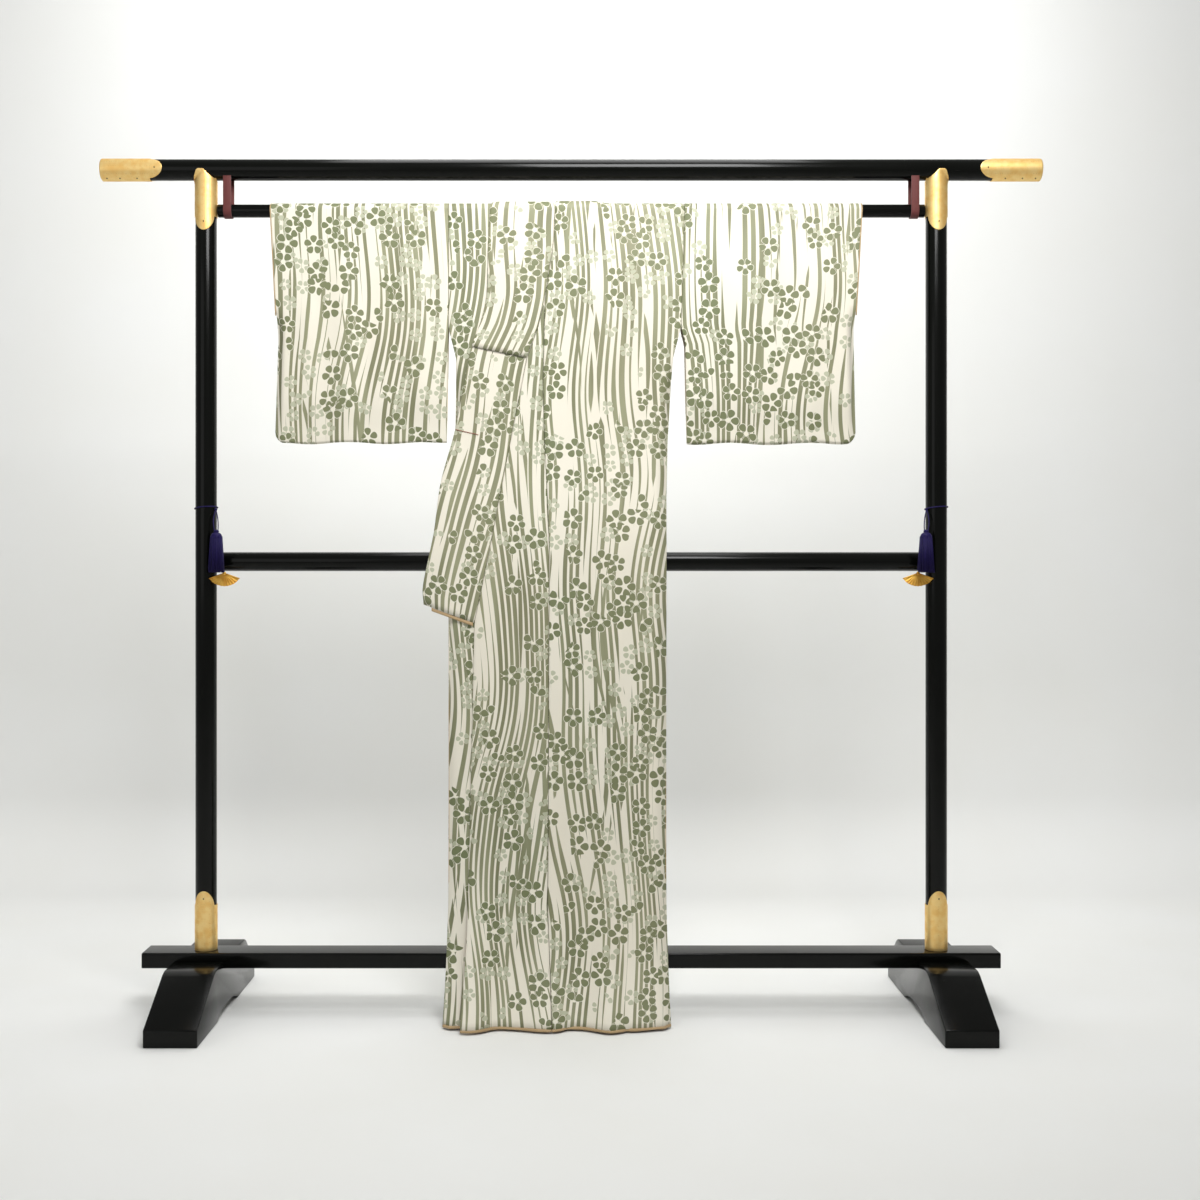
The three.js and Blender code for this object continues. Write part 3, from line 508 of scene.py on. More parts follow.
def collarSheet(rows, lift, inset, printV=0.0):
    width = outline["collarWidth"]
    shares = columns(width, 0.009)
    lengths = pathLengths([row[3] for row in rows], -0.1)

    def pointAt(i, k):
        free, seam, a, b, up = rows[i]
        start, end = free + inset, seam - gap - inset
        share = shares[k]
        x = start + (end - start) * share
        place = a if a[0] == "rod" else (a[0], a[1] + (b[1] - a[1]) * share)
        roll = edgeRoll(width, share) * 0.8
        billow = outline["billow"] * math.sin(math.pi * share) * up
        return clothPoint(x, place, layerAt(2) + hang["layer"] * up + lift + roll + billow)
    return {"rows": len(rows), "across": len(shares), "pointAt": pointAt, "turned": True,
            "printAt": lambda i, k: (printStarts["collar"] + shares[k] * width, lengths[i] + printV)}


# a thin dark strip on the collar: at the piecing it is the seam's thread, at the over-collar's folded end it
# is stitching with painted shadow under the fold
def collarThreadAndShadowStrip(name, row, reach, width, proud, look):
    free, seam, a, b, _ = row
    steps, inset, waver = 30, 0.0008, 0.0004

    def pointAt(i, k):
        share = reach * k / steps
        z = a[1] + (b[1] - a[1]) * share - waver - width * i + waver * math.sin(k * 1.9)
        lift = proud + outline["billow"] * math.sin(math.pi * share)
        x = free + inset + (seam - free - 2 * inset) * share
        return clothPoint(x, ("front", z), layerAt(3) + hang["wall"] + lift)
    sheet = {"rows": 2, "across": steps + 1, "pointAt": pointAt,
             "printAt": lambda i, k: (k * 0.004, i * 0.001)}
    clothPiece(name, [sheet], [look], shell=0.0006)


def makeCollars(silk, lining, threadAndShadowSet):
    rows = collarRows(outline["collarEnd"])
    clothPiece("collarLeft", [collarSheet(rows, hang["wall"], 0.0)], [silk, lining],
               replaced=["collar"])
    over = collarRows(outline["overCollarEnd"])
    overSheet = collarSheet(over, hang["wall"] + hang["shell"], 0.0006, printStarts["overCollar"])
    clothPiece("overCollar", [overSheet], [silk, lining],
               replaced=["over_collar"], shell=0.0009)
    # painted shadow: a dark strip along the over-collar's folded end stands for its stitching and the shade
    # under the fold
    collarThreadAndShadowStrip("overCollarStitchAndShadow", over[-1], 1.0, 0.0006, 0.0011, threadAndShadowSet[0])
    pieced = collarRows(outline["piecing"])[-1]
    collarThreadAndShadowStrip("piecingThread", pieced, 0.42, 0.0016, 0.0003, threadAndShadowSet[1])
    places = [("rod", angle) for angle in (75, 60, 45, 30, 15)]
    places = (places + sidePlaces("front", hang["rodHeight"], outline["collarEnd"], 0.03))[::-1]

    def seamAt(p):
        z = hang["rodHeight"] if p[0] == "rod" else p[1]
        return outline["rightSeam"] if z > outline["tip"] else rightOverlapX(z)
    folded = panelSheet(places, lambda p: (seamAt(p) + gap, seamAt(p) + outline["rightCollar"]),
                        lambda x, p: layerAt(1) + gap,
                        lambda x, p: x - seamAt(p) + printStarts["collarRight"])
    clothPiece("collarRight", [folded], [silk, silk], replaced=["collar_right"],
               shell=0.0018)


def sleeveX(half, edge, z):
    if edge == "inner" and z >= sleeveCut["armhole"]:
        return sideX(half, z)
    return straight(sleeveCut[half][edge], z)


def sleeveRing():  # from the bottom of the front, over the rod, to the bottom of the back
    heights, turns = levels(1, 0, 1 / sleeveCut["rows"]), range(15, 91, 15)
    ring = [("turn", "front", turn) for turn in reversed(turns)]
    ring += [("front", share) for share in reversed(heights)] + rodPlaces
    return ring + [("back", share) for share in heights] + [("turn", "back", turn) for turn in turns]


def makeSleeve(half, silk, lining):
    out = 1 if half == "left" else -1
    corner, bottom, last = sleeveCut["corner"], sleeveCut["bottom"], sleeveCut["cuffShares"][-1]
    count = sleeveCut["columns"]
    shares = sleeveCut["cuffShares"] + [last + (1 - last) * i / count for i in range(1, count)]
    shares += sleeveCut["innerShares"]
    ring = sleeveRing()

    def xAt(z, share):
        outer, inner = sleeveX(half, "outer", z), sleeveX(half, "inner", z) + out * sleeveCut["clear"]
        return outer + (inner - outer) * share

    def lowAt(share):  # the bottom edge, uneven by a millimetre or two, and its round corner
        x = xAt(bottom, share)
        away = abs(sleeveX(half, "outer", bottom) - x)
        low = bottom + corner - math.sqrt(corner ** 2 - max(0, corner - away) ** 2)
        return low + 0.0022 * math.sin(x * 41 + 1) * ramp(0, 0.05, away) + 0.001

    def pointOn(side, z, share, low):
        x, place = xAt(z, share), (side, z)
        sewnFrom = hang["rodHeight"] - hang["cuff"]
        drawn = sewn(seamOffset(half, place), x, sleeveX(half, "outer", z), place, sewnFrom)
        taper = sleeveCut["taper"] * fallRamp(low + sleeveCut["taperHeight"], low, z)
        roll = edgeRoll(sleeveCut["width"], share) if share > 0.5 else 0
        offset = drawn - taper * max(0, drawn + hollowAt(z) / 2 - gap) + hang["wall"] + roll
        return clothPoint(x, place, offset, "sleeve")

    def pointAt(i, k):
        place, share = ring[i], shares[k]
        if place[0] == "rod":
            return clothPoint(xAt(hang["rodHeight"], share), place, seamOffset(half, place) + hang["wall"])
        low = lowAt(share)
        if place[0] != "turn":
            return pointOn(place[0], low + (hang["rodHeight"] - low) * place[1], share, low)
        front, back = pointOn("front", low, share, low), pointOn("back", low, share, low)
        centre, reach = (front.y + back.y) / 2, (back.y - front.y) / 2
        angle, side = math.radians(place[2]), (-1 if place[1] == "front" else 1)
        drop = sleeveCut["turnDepth"] * reach * math.sin(angle)
        return Vector((front.x, centre + side * reach * math.cos(angle), front.z - drop))
    lengths = [0.0]
    for i in range(1, len(ring)):
        lengths.append(lengths[-1] + (pointAt(i, 20) - pointAt(i - 1, 20)).length)

    def printAt(i, k):
        return out * (printStarts["sleeve"] - shares[k] * sleeveCut["width"]), lengths[i]
    sheet = {"rows": len(ring), "across": len(shares), "pointAt": pointAt, "printAt": printAt,
             "turned": out > 0, "ring": True}
    clothPiece("sleeve" + half.capitalize(), [sheet], [silk, lining],
               replaced=["sleeve_" + half])


def edgeRollPiece(name, count, around, pointAt, look, flat, replaced):
    shape = bmesh.new()
    layGrid(shape, count, around + 1, lambda i, k: pointAt(i, 2 * math.pi * k / around),
            lambda i, k: (k / around * 0.02, i * 0.006))
    bmesh.ops.remove_doubles(shape, verts=shape.verts, dist=0.000002)
    bmesh.ops.holes_fill(shape, edges=shape.edges, sides=around + 2)
    bmesh.ops.recalc_face_normals(shape, faces=shape.faces)
    piece = finishMesh(name, shape, look)
    max(flat[1], 0.01)
    flat[0] * flat[1]
    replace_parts(piece, *replaced)


liningEdges = {
    "rows": 60, "around": 10, "height": 0.01, "rise": 0.0036, "thick": 0.0018, "tall": 0.0026,
    "uneven": 0.0003,
    "endRows": 31, "endFrom": 0.17, "endRun": 0.82, "endThick": 0.0017, "endTall": 0.0036, "endDrop": 0.0034,
    "cuffBottom": 1.385, "cuffStep": 0.012, "cuffProud": 0.0010, "cuffWide": 0.0013, "cuffThick": 0.0009,
}


def hemLiningAt(side, layer, start, end, half):
    height = liningEdges["height"]

    def pointAt(i, a):
        x = start + (end - start) * i / (liningEdges["rows"] - 1)
        o = sewn(layerAt(layer), x, sideX(half, height), (side, height)) + hang["wall"] / 2
        low = hemLevel(x, side, o, hang["liningClear"] + liningEdges["rise"])
        tall = liningEdges["tall"] + liningEdges["uneven"] * math.sin(x * 71)
        thick = liningEdges["thick"] * math.cos(a)
        return clothPoint(x, (side, low), o) + Vector((0, thick, tall * math.sin(a)))
    return pointAt


def collarEndAt(i, a):
    seamZ, free, freeZ, seam = outline["collar"][-1]
    share = liningEdges["endFrom"] + liningEdges["endRun"] * i / (liningEdges["endRows"] - 1)
    x = free + (seam - free) * share - 0.001
    z = freeZ + (seamZ - freeZ) * share - liningEdges["endDrop"]
    centre = clothPoint(x, ("front", z), layerAt(3) + hang["wall"] / 2)
    return centre + Vector((0, liningEdges["endThick"] * math.cos(a), liningEdges["endTall"] * math.sin(a)))


def cuffAt(half, places):
    out = 1 if half == "left" else -1

    def pointAt(i, a):
        place = places[i]
        z = hang["rodHeight"] if place[0] == "rod" else place[1]
        o = seamOffset(half, place) + hang["wall"] / 2 + liningEdges["cuffThick"] * math.sin(a)
        proud = liningEdges["cuffProud"] + liningEdges["cuffWide"] * math.cos(a)
        return clothPoint(sleeveX(half, "outer", z) + out * proud, place, o)
    return pointAt


def makeLinings(lining):
    height, rightSeam, pleat = liningEdges["height"], outline["rightSeam"], outline["pleat"]
    leftSide, rightSide, frontSeam = sideX("left", height), sideX("right", height), frontSeamX(height)
    hems = {  # side, layer, start, end, the piece above
        "front_left": ("front", 3, frontSeam + gap, leftSide, "body_left"),
        "okumi_left": ("front", 3, overlapEdgeX(height), frontSeam - gap, "okumi_left"),
        "front_right": ("front", 1, rightSide, rightSeam - gap, "body_right"),
        "okumi_right": ("front", 1, rightSeam + gap, rightOverlapX(height), "okumi_right"),
        "back_left": ("back", 3, pleat["left"], leftSide, "body_left"),
        "back_right": ("back", 1, rightSide, pleat["right"], "body_right"),
    }
    for key, (side, layer, start, end, above) in hems.items():
        pointAt = hemLiningAt(side, layer, start, end, key.split("_")[1])
        name, size = "hemLining" + key.title().replace("_", ""), (abs(end - start) + 0.004, 0.0074)
        edgeRollPiece(name, liningEdges["rows"], liningEdges["around"], pointAt, [lining], size,
                      ["lining_hem_" + key])
    edgeRollPiece("collarEndLining", liningEdges["endRows"], liningEdges["around"], collarEndAt, [lining],
                  (0.09, 0.0085), ["lining_collar_end"])
    heights = levels(hang["rodHeight"], liningEdges["cuffBottom"], liningEdges["cuffStep"])
    places = [("front", z) for z in heights][::-1] + rodPlaces + [("back", z) for z in heights]
    for half in ("left", "right"):
        edgeRollPiece("cuffLining" + half.capitalize(), len(places), 8, cuffAt(half, places), [lining],
                      (0.49, 0.0042), ["lining_cuff_" + half])


# shader maths
class Value:
    def __init__(self, maker, socket):
        self.maker, self.socket = maker, socket

    def maths(self, operation, other=None, swapped=False):
        values = [other, self] if swapped else [self, other]
        inputs = {i: value for i, value in enumerate(values) if value is not None}
        return self.maker.node("Math", {"operation": operation}, inputs)

    def __add__(self, other):
        return self.maths("ADD", other)

    __radd__ = __add__

    def __sub__(self, other):
        return self.maths("SUBTRACT", other)

    def __rsub__(self, other):
        return self.maths("SUBTRACT", other, swapped=True)

    def __mul__(self, other):
        return self.maths("MULTIPLY", other)

    def __truediv__(self, other):
        return self.maths("DIVIDE", other)

    def __pow__(self, other):
        return self.maths("POWER", other)


class Look:
    def __init__(self, name, slot, **constants):
        self.material = bpy.data.materials.new(name)
        self.material["slot"] = slot
        self.material.use_nodes = True
        self.tree = self.material.node_tree
        self.shader = self.tree.nodes["Principled BSDF"]
        self.use(**constants)

    def node(self, kind, settings=None, inputs=None, output=0):
        made = self.tree.nodes.new("ShaderNode" + kind)
        for key, value in (settings or {}).items():
            setattr(made, key, value)
        for key, value in (inputs or {}).items():
            self.feed(made.inputs[key], value)
        return Value(self, made.outputs[output])

    def feed(self, target, value):
        if isinstance(value, Value):
            self.tree.links.new(value.socket, target)
        else:
            target.default_value = value

    def other(self, value, output):
        return Value(self, value.socket.node.outputs[output])

    def place(self):
        return self.node("TexCoord", None, None, "Object")

    def split(self, vector):
        x = self.node("SeparateXYZ", None, {0: vector})
        return x, self.other(x, 1), self.other(x, 2)

    def step(self, value, low, high):
        return self.node("MapRange", {"interpolation_type": "SMOOTHSTEP"}, {0: value, 1: low, 2: high})

    def mix(self, factor, a, b):
        return self.node("Mix", {"data_type": "RGBA"}, {0: factor, 6: a, 7: b}, 2)

    def vector(self, x, y, z=0.0):
        return self.node("CombineXYZ", None, {0: x, 1: y, 2: z})

    def noise(self, vector, scale=1.0, detail=2.0, roughness=0.5):
        inputs = {"Vector": vector, "Scale": scale, "Detail": detail, "Roughness": roughness}
        return self.node("TexNoise", None, inputs)

    def cloud(self, x, y, z, detail=0.0, roughness=0.5):
        return self.noise(self.vector(x, y, z), 1.0, detail, roughness)

    def wave(self, axis, scale, distortion):
        inputs = {"Vector": self.place(), "Scale": scale, "Distortion": distortion}
        return self.node("TexWave", {"bands_direction": axis}, inputs, 1)

    def bump(self, height, strength, distance, under=None):
        inputs = {"Height": height, "Strength": strength, "Distance": distance}
        if under is not None:
            inputs["Normal"] = under
        return self.node("Bump", None, inputs)

    def textured(self, colour, height, roughness, lift):  # the height roughens the surface and lifts it
        low, rise = roughness
        return self.use(Base_Color=colour, Roughness=low + height * rise, Normal=self.bump(height, *lift))

    def use(self, **links):
        for socket, value in links.items():
            self.feed(self.shader.inputs[socket.replace("_", " ")], value)
        return self.material


def paint(red, green, blue):  # screen colour to a shader colour
    def linear(value):
        value = value / 255
        return value / 12.92 if value <= 0.04045 else ((value + 0.055) / 1.055) ** 2.4
    return (linear(red), linear(green), linear(blue), 1.0)


printInks = {
    "ground": paint(229, 224, 208), "sage": paint(115, 118, 86), "paleSage": paint(138, 141, 109),
    "petal": paint(108, 116, 79), "ghost": paint(174, 178, 152), "halo": paint(229, 225, 208),
    "aged": paint(206, 186, 158),
}
stripeFamilies = [
    {"spacing": 0.0120, "wander": 9.0, "across": 3.7, "along": 2.6, "seed": 1.7, "faintest": 0.390,
     "widest": 0.39},
    {"spacing": 0.0170, "wander": 7.4, "across": 2.8, "along": 2.4, "seed": 8.3, "faintest": 0.470,
     "widest": 0.26},
]
stripeLine = {
    "apart": 7.31, "along": 2.1, "swell": 4.6, "widestApart": 3.77, "widestAlong": 0.6, "soft": (-0.05, 0.04),
}
flowerKinds = {
    "dark": {"cell": 0.0425, "spread": 0.70, "ring": 0.0118, "long": 0.0073, "wide": 0.0062, "seed": 0.0,
             "share": 0.51, "bands": 3.8},
    "pale": {"cell": 0.037, "spread": 0.80, "ring": 0.0088, "long": 0.0049, "wide": 0.0045, "seed": 4.37,
             "share": 0.46, "bands": 3.0},
}
flowerForm = {
    "petals": 5, "smallest": 0.88, "sizes": 0.28, "taper": 0.34, "edge": (0.88, 1.10), "rim": (1.14, 1.34),
    "heart": (0.0034, 0.0054), "missing": (0.26, 0.15), "shift": 0.7,
    "whole": 7.31, "bandAcross": 9, "bandAlong": 3.4, "bandSeed": 2.0,
}


def stripes(look, u, v, family, crowded=0.0):  # each line swells on its own, and ends where it is faint
    seed, form = family["seed"], stripeLine
    warp = look.cloud(u * family["across"], v * family["along"], seed) - 0.5
    phase = u / family["spacing"] + warp * family["wander"]
    line = phase.maths("FLOOR")
    away = (phase.maths("FRACT") - 0.5).maths("ABSOLUTE") * 2
    own = look.cloud(line * form["apart"], v * form["along"], seed + 3)
    most = look.cloud(line * form["widestApart"], v * form["widestAlong"], seed + 6)
    widest = most * 0.5 + family["widest"]
    width = ((own - family["faintest"]) * form["swell"] - crowded).maths("MINIMUM", widest)
    inside, outside = form["soft"]
    return 1 - look.step(away, width + inside, width + outside), width


def flowers(look, u, v, kind):
    form, petals = flowerForm, flowerForm["petals"]
    across, along = kind["seed"], kind["seed"] * form["shift"]
    cell = look.node("TexVoronoi", {"voronoi_dimensions": "2D"},
                     {"Vector": look.vector(u + across, v + along), "Scale": 1 / kind["cell"],
                      "Randomness": kind["spread"]})
    centreX, centreY, _ = look.split(look.other(cell, "Position"))
    pick = look.node("SeparateColor", None, {0: look.other(cell, "Color")})
    spin, size = look.other(pick, 1), look.other(pick, 2)
    scale = form["smallest"] + size * form["sizes"]
    dx, dy = (u + across - centreX) / scale, (v + along - centreY) / scale
    r = (dx * dx + dy * dy).maths("SQRT")
    sector = (dx.maths("ARCTAN2", dy) / (2 * math.pi) + spin + 2) * petals
    angle = (sector.maths("FRACT") - 0.5) * (2 * math.pi / petals)
    px = r * angle.maths("COSINE") - kind["ring"]
    py = r * angle.maths("SINE")
    narrowing = 1 + px * (form["taper"] / kind["long"])
    reach = (px / kind["long"]) ** 2 + (py / (narrowing * kind["wide"])) ** 2
    number = sector.maths("FLOOR").maths("MODULO", petals)
    whole = (spin * form["whole"]).maths("FRACT")
    missing = sum(whole.maths("LESS_THAN", share) * 2 for share in form["missing"])  # petals in twos
    shown = number.maths("LESS_THAN", petals + 0.2 - missing)
    band = look.cloud(centreX * form["bandAcross"], centreY * form["bandAlong"], form["bandSeed"], 1.0)
    present = (pick + (band - 0.5) * kind["bands"]).maths("LESS_THAN", kind["share"]) * shown
    petal = (1 - look.step(reach, *form["edge"])) * present
    halo = (1 - look.step(reach, *form["rim"])).maths("MAXIMUM", 1 - look.step(r, *form["heart"])) * present
    return petal, halo


def printedSilk():
    look = Look("printedSilk", "silk", Roughness=0.58, Sheen_Weight=0.12, Sheen_Roughness=0.4)
    u, v, _ = look.split(look.node("UVMap", {"uv_map": "print"}))
    above, width = stripes(look, u, v, stripeFamilies[0])
    below = stripes(look, u, v, stripeFamilies[1], look.step(width, -0.25, 0.02))[0]  # only where it has room
    tone = look.cloud(u * 30, v * 3, 5.0, 2.0)
    sage = look.mix(look.step(tone, 0.35, 0.65), printInks["sage"], printInks["paleSage"])
    striped = look.mix(above.maths("MAXIMUM", below), printInks["ground"], sage)
    palePetal, paleHalo = flowers(look, u, v, flowerKinds["pale"])
    darkPetal, darkHalo = flowers(look, u, v, flowerKinds["dark"])
    colour = look.mix(paleHalo * 0.5, striped, printInks["halo"])
    colour = look.mix(palePetal * 0.9, colour, printInks["ghost"])
    colour = look.mix(darkHalo, colour, printInks["halo"])
    colour = look.mix(darkPetal, colour, printInks["petal"])
    aged = look.cloud(u * 4, v * 2, 9.0, 3.0)
    colour = look.mix((aged - 0.30) * 0.26, colour, printInks["aged"])
    crepe = look.cloud(u * 900, v * 520, 0.0, 2.0, 0.6)
    slub = look.cloud(u * 14, v * 3.2, 3.0, 3.0, 0.55)
    normal = look.bump(crepe, 0.30, 0.00025, look.bump(slub, 0.35, 0.0022))
    return look.use(Base_Color=colour, Roughness=0.50 + crepe * 0.16, Normal=normal)


def liningSilk():
    look = Look("liningSilk", "lining", Sheen_Weight=0.1)
    place = look.place()
    height = look.split(place)[2]
    weave = look.noise(place, 700, 2.0)
    shade = look.mix(weave, paint(176, 132, 80), paint(200, 156, 100))
    upper = look.step(height, 0.60, 0.66) * (1 - look.step(height, 1.62, 1.63))
    colour = look.mix(upper * 0.85, shade, paint(228, 220, 200))
    return look.textured(colour, weave, (0.48, 0.2), (0.25, 0.0002))


def edgeSilk():
    look = Look("edgeSilk", "lining", Sheen_Weight=0.1)
    place = look.place()
    colour = look.mix(look.noise(place, 22, 3.0), paint(160, 132, 92), paint(196, 168, 126))
    return look.textured(colour, look.noise(place, 900, 2.0), (0.46, 0.2), (0.25, 0.0002))


# a twisted thread colour; the dark one also serves as painted shadow along the over-collar's folded end
def threadAndShadowLook(name, dark, light):
    look = Look(name, "lining", Roughness=0.8)
    twist = look.noise(look.place(), 1400, 1.0)
    return look.use(Base_Color=look.mix(twist, dark, light), Normal=look.bump(twist, 0.3, 0.0002))


def lacquer():
    look = Look("lacquer", "lacquer", Coat_Roughness=0.05, Specular_IOR_Level=0.16)
    place = look.place()
    haze = look.noise(place, 9, 4.0, 0.6)
    dust = look.noise(place, 420, 2.0, 0.5)
    colour = look.mix(look.step(dust, 0.64, 0.80), paint(5, 6, 4), paint(18, 18, 16))
    ripple = look.bump(look.noise(place, 26, 1.0), 0.05, 0.001)
    return look.use(Base_Color=colour, Roughness=0.12 + haze * 0.14, Coat_Weight=haze * 0.09, Normal=ripple)


def gilt(name, light, deep):
    look = Look(name, "gilt")
    place = look.place()
    punch = look.node("TexVoronoi", None, {"Vector": place, "Scale": 210.0, "Randomness": 0.25})
    ring = look.step(punch, 0.10, 0.24)
    patch = look.noise(place, 60, 3.0)
    colour = look.mix(look.step(patch, 0.36, 0.70), light, deep)
    colour = look.mix((1 - ring) * 0.30, colour, paint(168, 116, 54))
    return look.use(Base_Color=colour, Metallic=0.72 + patch * 0.1, Roughness=0.36 + patch * 0.16,
                    Normal=look.bump(ring + patch * 0.4, 0.35, 0.0005))


def bronze():
    look = Look("bronze", "gilt", Metallic=0.8)
    patina = look.noise(look.place(), 900, 2.0)
    colour = look.mix(patina, paint(58, 40, 18), paint(104, 74, 34))
    return look.textured(colour, patina, (0.34, 0.3), (0.2, 0.0002))


def wovenStrap():
    look = Look("wovenStrap", "strap", Sheen_Weight=0.2)
    weave = look.wave("Z", 190.0, 1.0) * look.wave("X", 260.0, 0.6)
    colour = look.mix(weave, paint(84, 30, 28), paint(122, 52, 46))
    return look.textured(colour, weave, (0.62, 0.2), (0.4, 0.0005))


def purpleSilk():
    look = Look("purpleSilk", "cord", Sheen_Weight=0.04, Specular_IOR_Level=0.2)
    x, y, z = look.split(look.place())
    strand = look.cloud(x * 1500, y * 1500, z * 60, 2.0)
    colour = look.mix(strand, paint(7, 2, 38), paint(27, 10, 86))
    return look.textured(colour, strand, (0.46, 0.3), (0.4, 0.0004))


# rack
rack = {
    "sides": 72, "edge": 0.0016, "edgeSteps": 3, "beamHeight": 1.679, "beamHalf": 0.938,
    "postX": 0.730, "postRadius": 0.021, "railTop": 0.121, "smoothAngle": 32,
}
fitting = {
    "sides": 96, "radius": 0.0224, "thick": 0.0011, "edge": 0.00035, "edgeAngle": 50,
    "tongueHalf": 0.0190, "capTongue": 0.027, "highTongue": 0.029, "lowTongue": 0.030,
    "capInner": 0.813, "capRim": 0.0024, "capRimStart": 0.90, "capEndStart": 0.96,
    "highBottom": 1.555, "highTop": 1.6562, "frontHalf": 91, "slantTop": 1.6770, "slantDrop": 0.0175,
    "slantFrom": -0.002, "slantRun": 0.022, "cornerRadius": 0.009, "cornerFrom": 0.0134,
    "hug": 0.0222, "narrowing": 0.24, "narrowHeights": (1.657, 1.672), "lowTop": 0.241, "lowClear": 0.0003,
    "nailRadius": 0.0014, "nailDeep": 0.0002, "highNail": 1.572, "lowNail": 0.226, "capNail": 0.015,
    "underNails": (0.052, 0.086, 0.112), "underFace": (0.5, 0.866),
}


def roundBar(name, node, axis, look):
    low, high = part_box(node)
    size, middle = high - low, (high + low) / 2
    radius = (size[(axis + 1) % 3] + size[(axis + 2) % 3]) / 4
    turn = Matrix.Rotation(math.radians(90), 4, "Y") if axis == 0 else Matrix.Identity(4)
    shape = bmesh.new()
    bmesh.ops.create_cone(shape, cap_ends=True, segments=rack["sides"], radius1=radius, radius2=radius,
                          depth=size[axis], matrix=Matrix.Translation(middle) @ turn)
    rims = [e for e in shape.edges if len(e.link_faces) == 2 and e.calc_face_angle(0) > 1]
    bmesh.ops.bevel(shape, geom=rims, offset=rack["edge"], segments=rack["edgeSteps"], profile=0.5,
                    affect="EDGES", material=-1)
    for face in shape.faces:
        face.smooth = len(face.verts) == 4
    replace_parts(finishMesh(name, shape, [look]), node)


def softCopy(name, node, look, width, segments, angle):  # the CAD piece, edges sharper than angle rounded
    shape = bmesh.new()
    shape.from_mesh(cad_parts[node].data)
    bmesh.ops.remove_doubles(shape, verts=shape.verts, dist=0.00001)
    bmesh.ops.dissolve_limit(shape, angle_limit=math.radians(0.5), verts=shape.verts, edges=shape.edges)
    sharp = [e for e in shape.edges if len(e.link_faces) == 2 and e.calc_face_angle(0) > math.radians(angle)]
    bmesh.ops.bevel(shape, geom=sharp, offset=width, segments=segments, profile=0.5, affect="EDGES",
                    material=-1, clamp_overlap=True)
    smoothFaces(shape)
    piece = finishMesh(name, shape, [look])
    piece.data.set_sharp_from_angle(angle=math.radians(rack["smoothAngle"]))
    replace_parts(piece, node)


def lobe(place, deep):  # round tongue on the edge of a fitting, seen from the front and behind
    return deep * (1 - math.sqrt(max(0.0, 1 - min(1.0, abs(place) / fitting["tongueHalf"]) ** 2)))


def thickenPiece(piece, thick):
    solid = piece.modifiers.new("thickness", "SOLIDIFY")
    solid.thickness, solid.offset = thick, -1


def giltSleeve(name, node, rows, pointAt, look):
    sides = fitting["sides"]
    shape = bmesh.new()
    for vert, (i, k) in gridSpots(shape, rows + 1, sides + 1).items():
        vert.co = pointAt((k / sides - 0.5) * 2 * math.pi, i / rows)  # angle 0 is the front
    bmesh.ops.remove_doubles(shape, verts=shape.verts, dist=0.000002)
    middle = sum((vert.co for vert in shape.verts), Vector()) / len(shape.verts)
    facing = [face.normal.dot(face.calc_center_median() - middle) * face.calc_area() for face in shape.faces]
    if sum(facing) < 0:
        bmesh.ops.reverse_faces(shape, faces=shape.faces)
    smoothFaces(shape)
    piece = finishMesh(name, shape, [look])
    thickenPiece(piece, fitting["thick"])
    soften = piece.modifiers.new("edge", "BEVEL")
    soften.width, soften.segments, soften.limit_method = fitting["edge"], 2, "ANGLE"
    soften.angle_limit = math.radians(fitting["edgeAngle"])
    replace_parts(piece, node)


def ball(shape, centre, radii, around=16, rings=10):
    made = bmesh.ops.create_uvsphere(shape, u_segments=around, v_segments=rings, radius=1.0)
    bmesh.ops.scale(shape, vec=radii, verts=made["verts"])
    bmesh.ops.translate(shape, vec=centre, verts=made["verts"])


def nails(name, spots, look):
    shape, radius = bmesh.new(), fitting["nailRadius"]
    for spot, outward in spots:
        ball(shape, Vector(spot) + Vector(outward) * fitting["nailDeep"], (radius, radius, radius), 12, 8)
    smoothFaces(shape)
    finishMesh(name, shape, [look])


def capPoint(out, angle, t):
    radius, rim, end = fitting["radius"], fitting["capRim"], rack["beamHalf"]
    start = fitting["capInner"] + lobe(radius * math.sin(angle), fitting["capTongue"])
    rimStart, endStart = fitting["capRimStart"], fitting["capEndStart"]
    if t < rimStart:
        s, r = start + (end - rim - start) * t / rimStart, radius
    else:  # rounded rim and flat end
        turn = min(1.0, (t - rimStart) / (endStart - rimStart)) * math.pi / 2
        s = end - rim + rim * math.sin(turn)
        r = (radius - rim + rim * math.cos(turn)) * (1 - max(0.0, (t - endStart) / (1 - endStart)))
    return Vector((out * s, -r * math.cos(angle), rack["beamHeight"] + r * math.sin(angle)))


def highPoint(out, angle, t):
    radius, corner = fitting["radius"], fitting["cornerRadius"]
    x, top = radius * math.sin(angle), fitting["highTop"]
    bottom, inward = fitting["highBottom"] + lobe(x, fitting["highTongue"]), -out * x
    facing = abs(angle) < math.radians(fitting["frontHalf"])
    if facing:  # the tongue in front of the beam, cut aslant on its inner side
        fall = clamp((inward - fitting["slantFrom"]) / fitting["slantRun"])
        curve = math.sqrt(max(0.0, 1 - clamp((-inward - fitting["cornerFrom"]) / corner) ** 2))
        top = fitting["slantTop"] - fitting["slantDrop"] * fall - corner * (1 - curve)
    z = bottom + (top - bottom) * t
    near = fitting["hug"] ** 2 - (z - rack["beamHeight"]) ** 2
    front = radius * math.cos(angle)
    if facing and near > 0:
        front = max(front, math.sqrt(near))
        x *= 1 - fitting["narrowing"] * ramp(*fitting["narrowHeights"], z)
    return Vector((out * rack["postX"] + x, -front, z))


def lowPoint(out, angle, t):
    x = fitting["radius"] * math.sin(angle)
    foot, top = rack["railTop"] + fitting["lowClear"], fitting["lowTop"] - lobe(x, fitting["lowTongue"])
    return Vector((out * rack["postX"] + x, -fitting["radius"] * math.cos(angle), foot + (top - foot) * t))


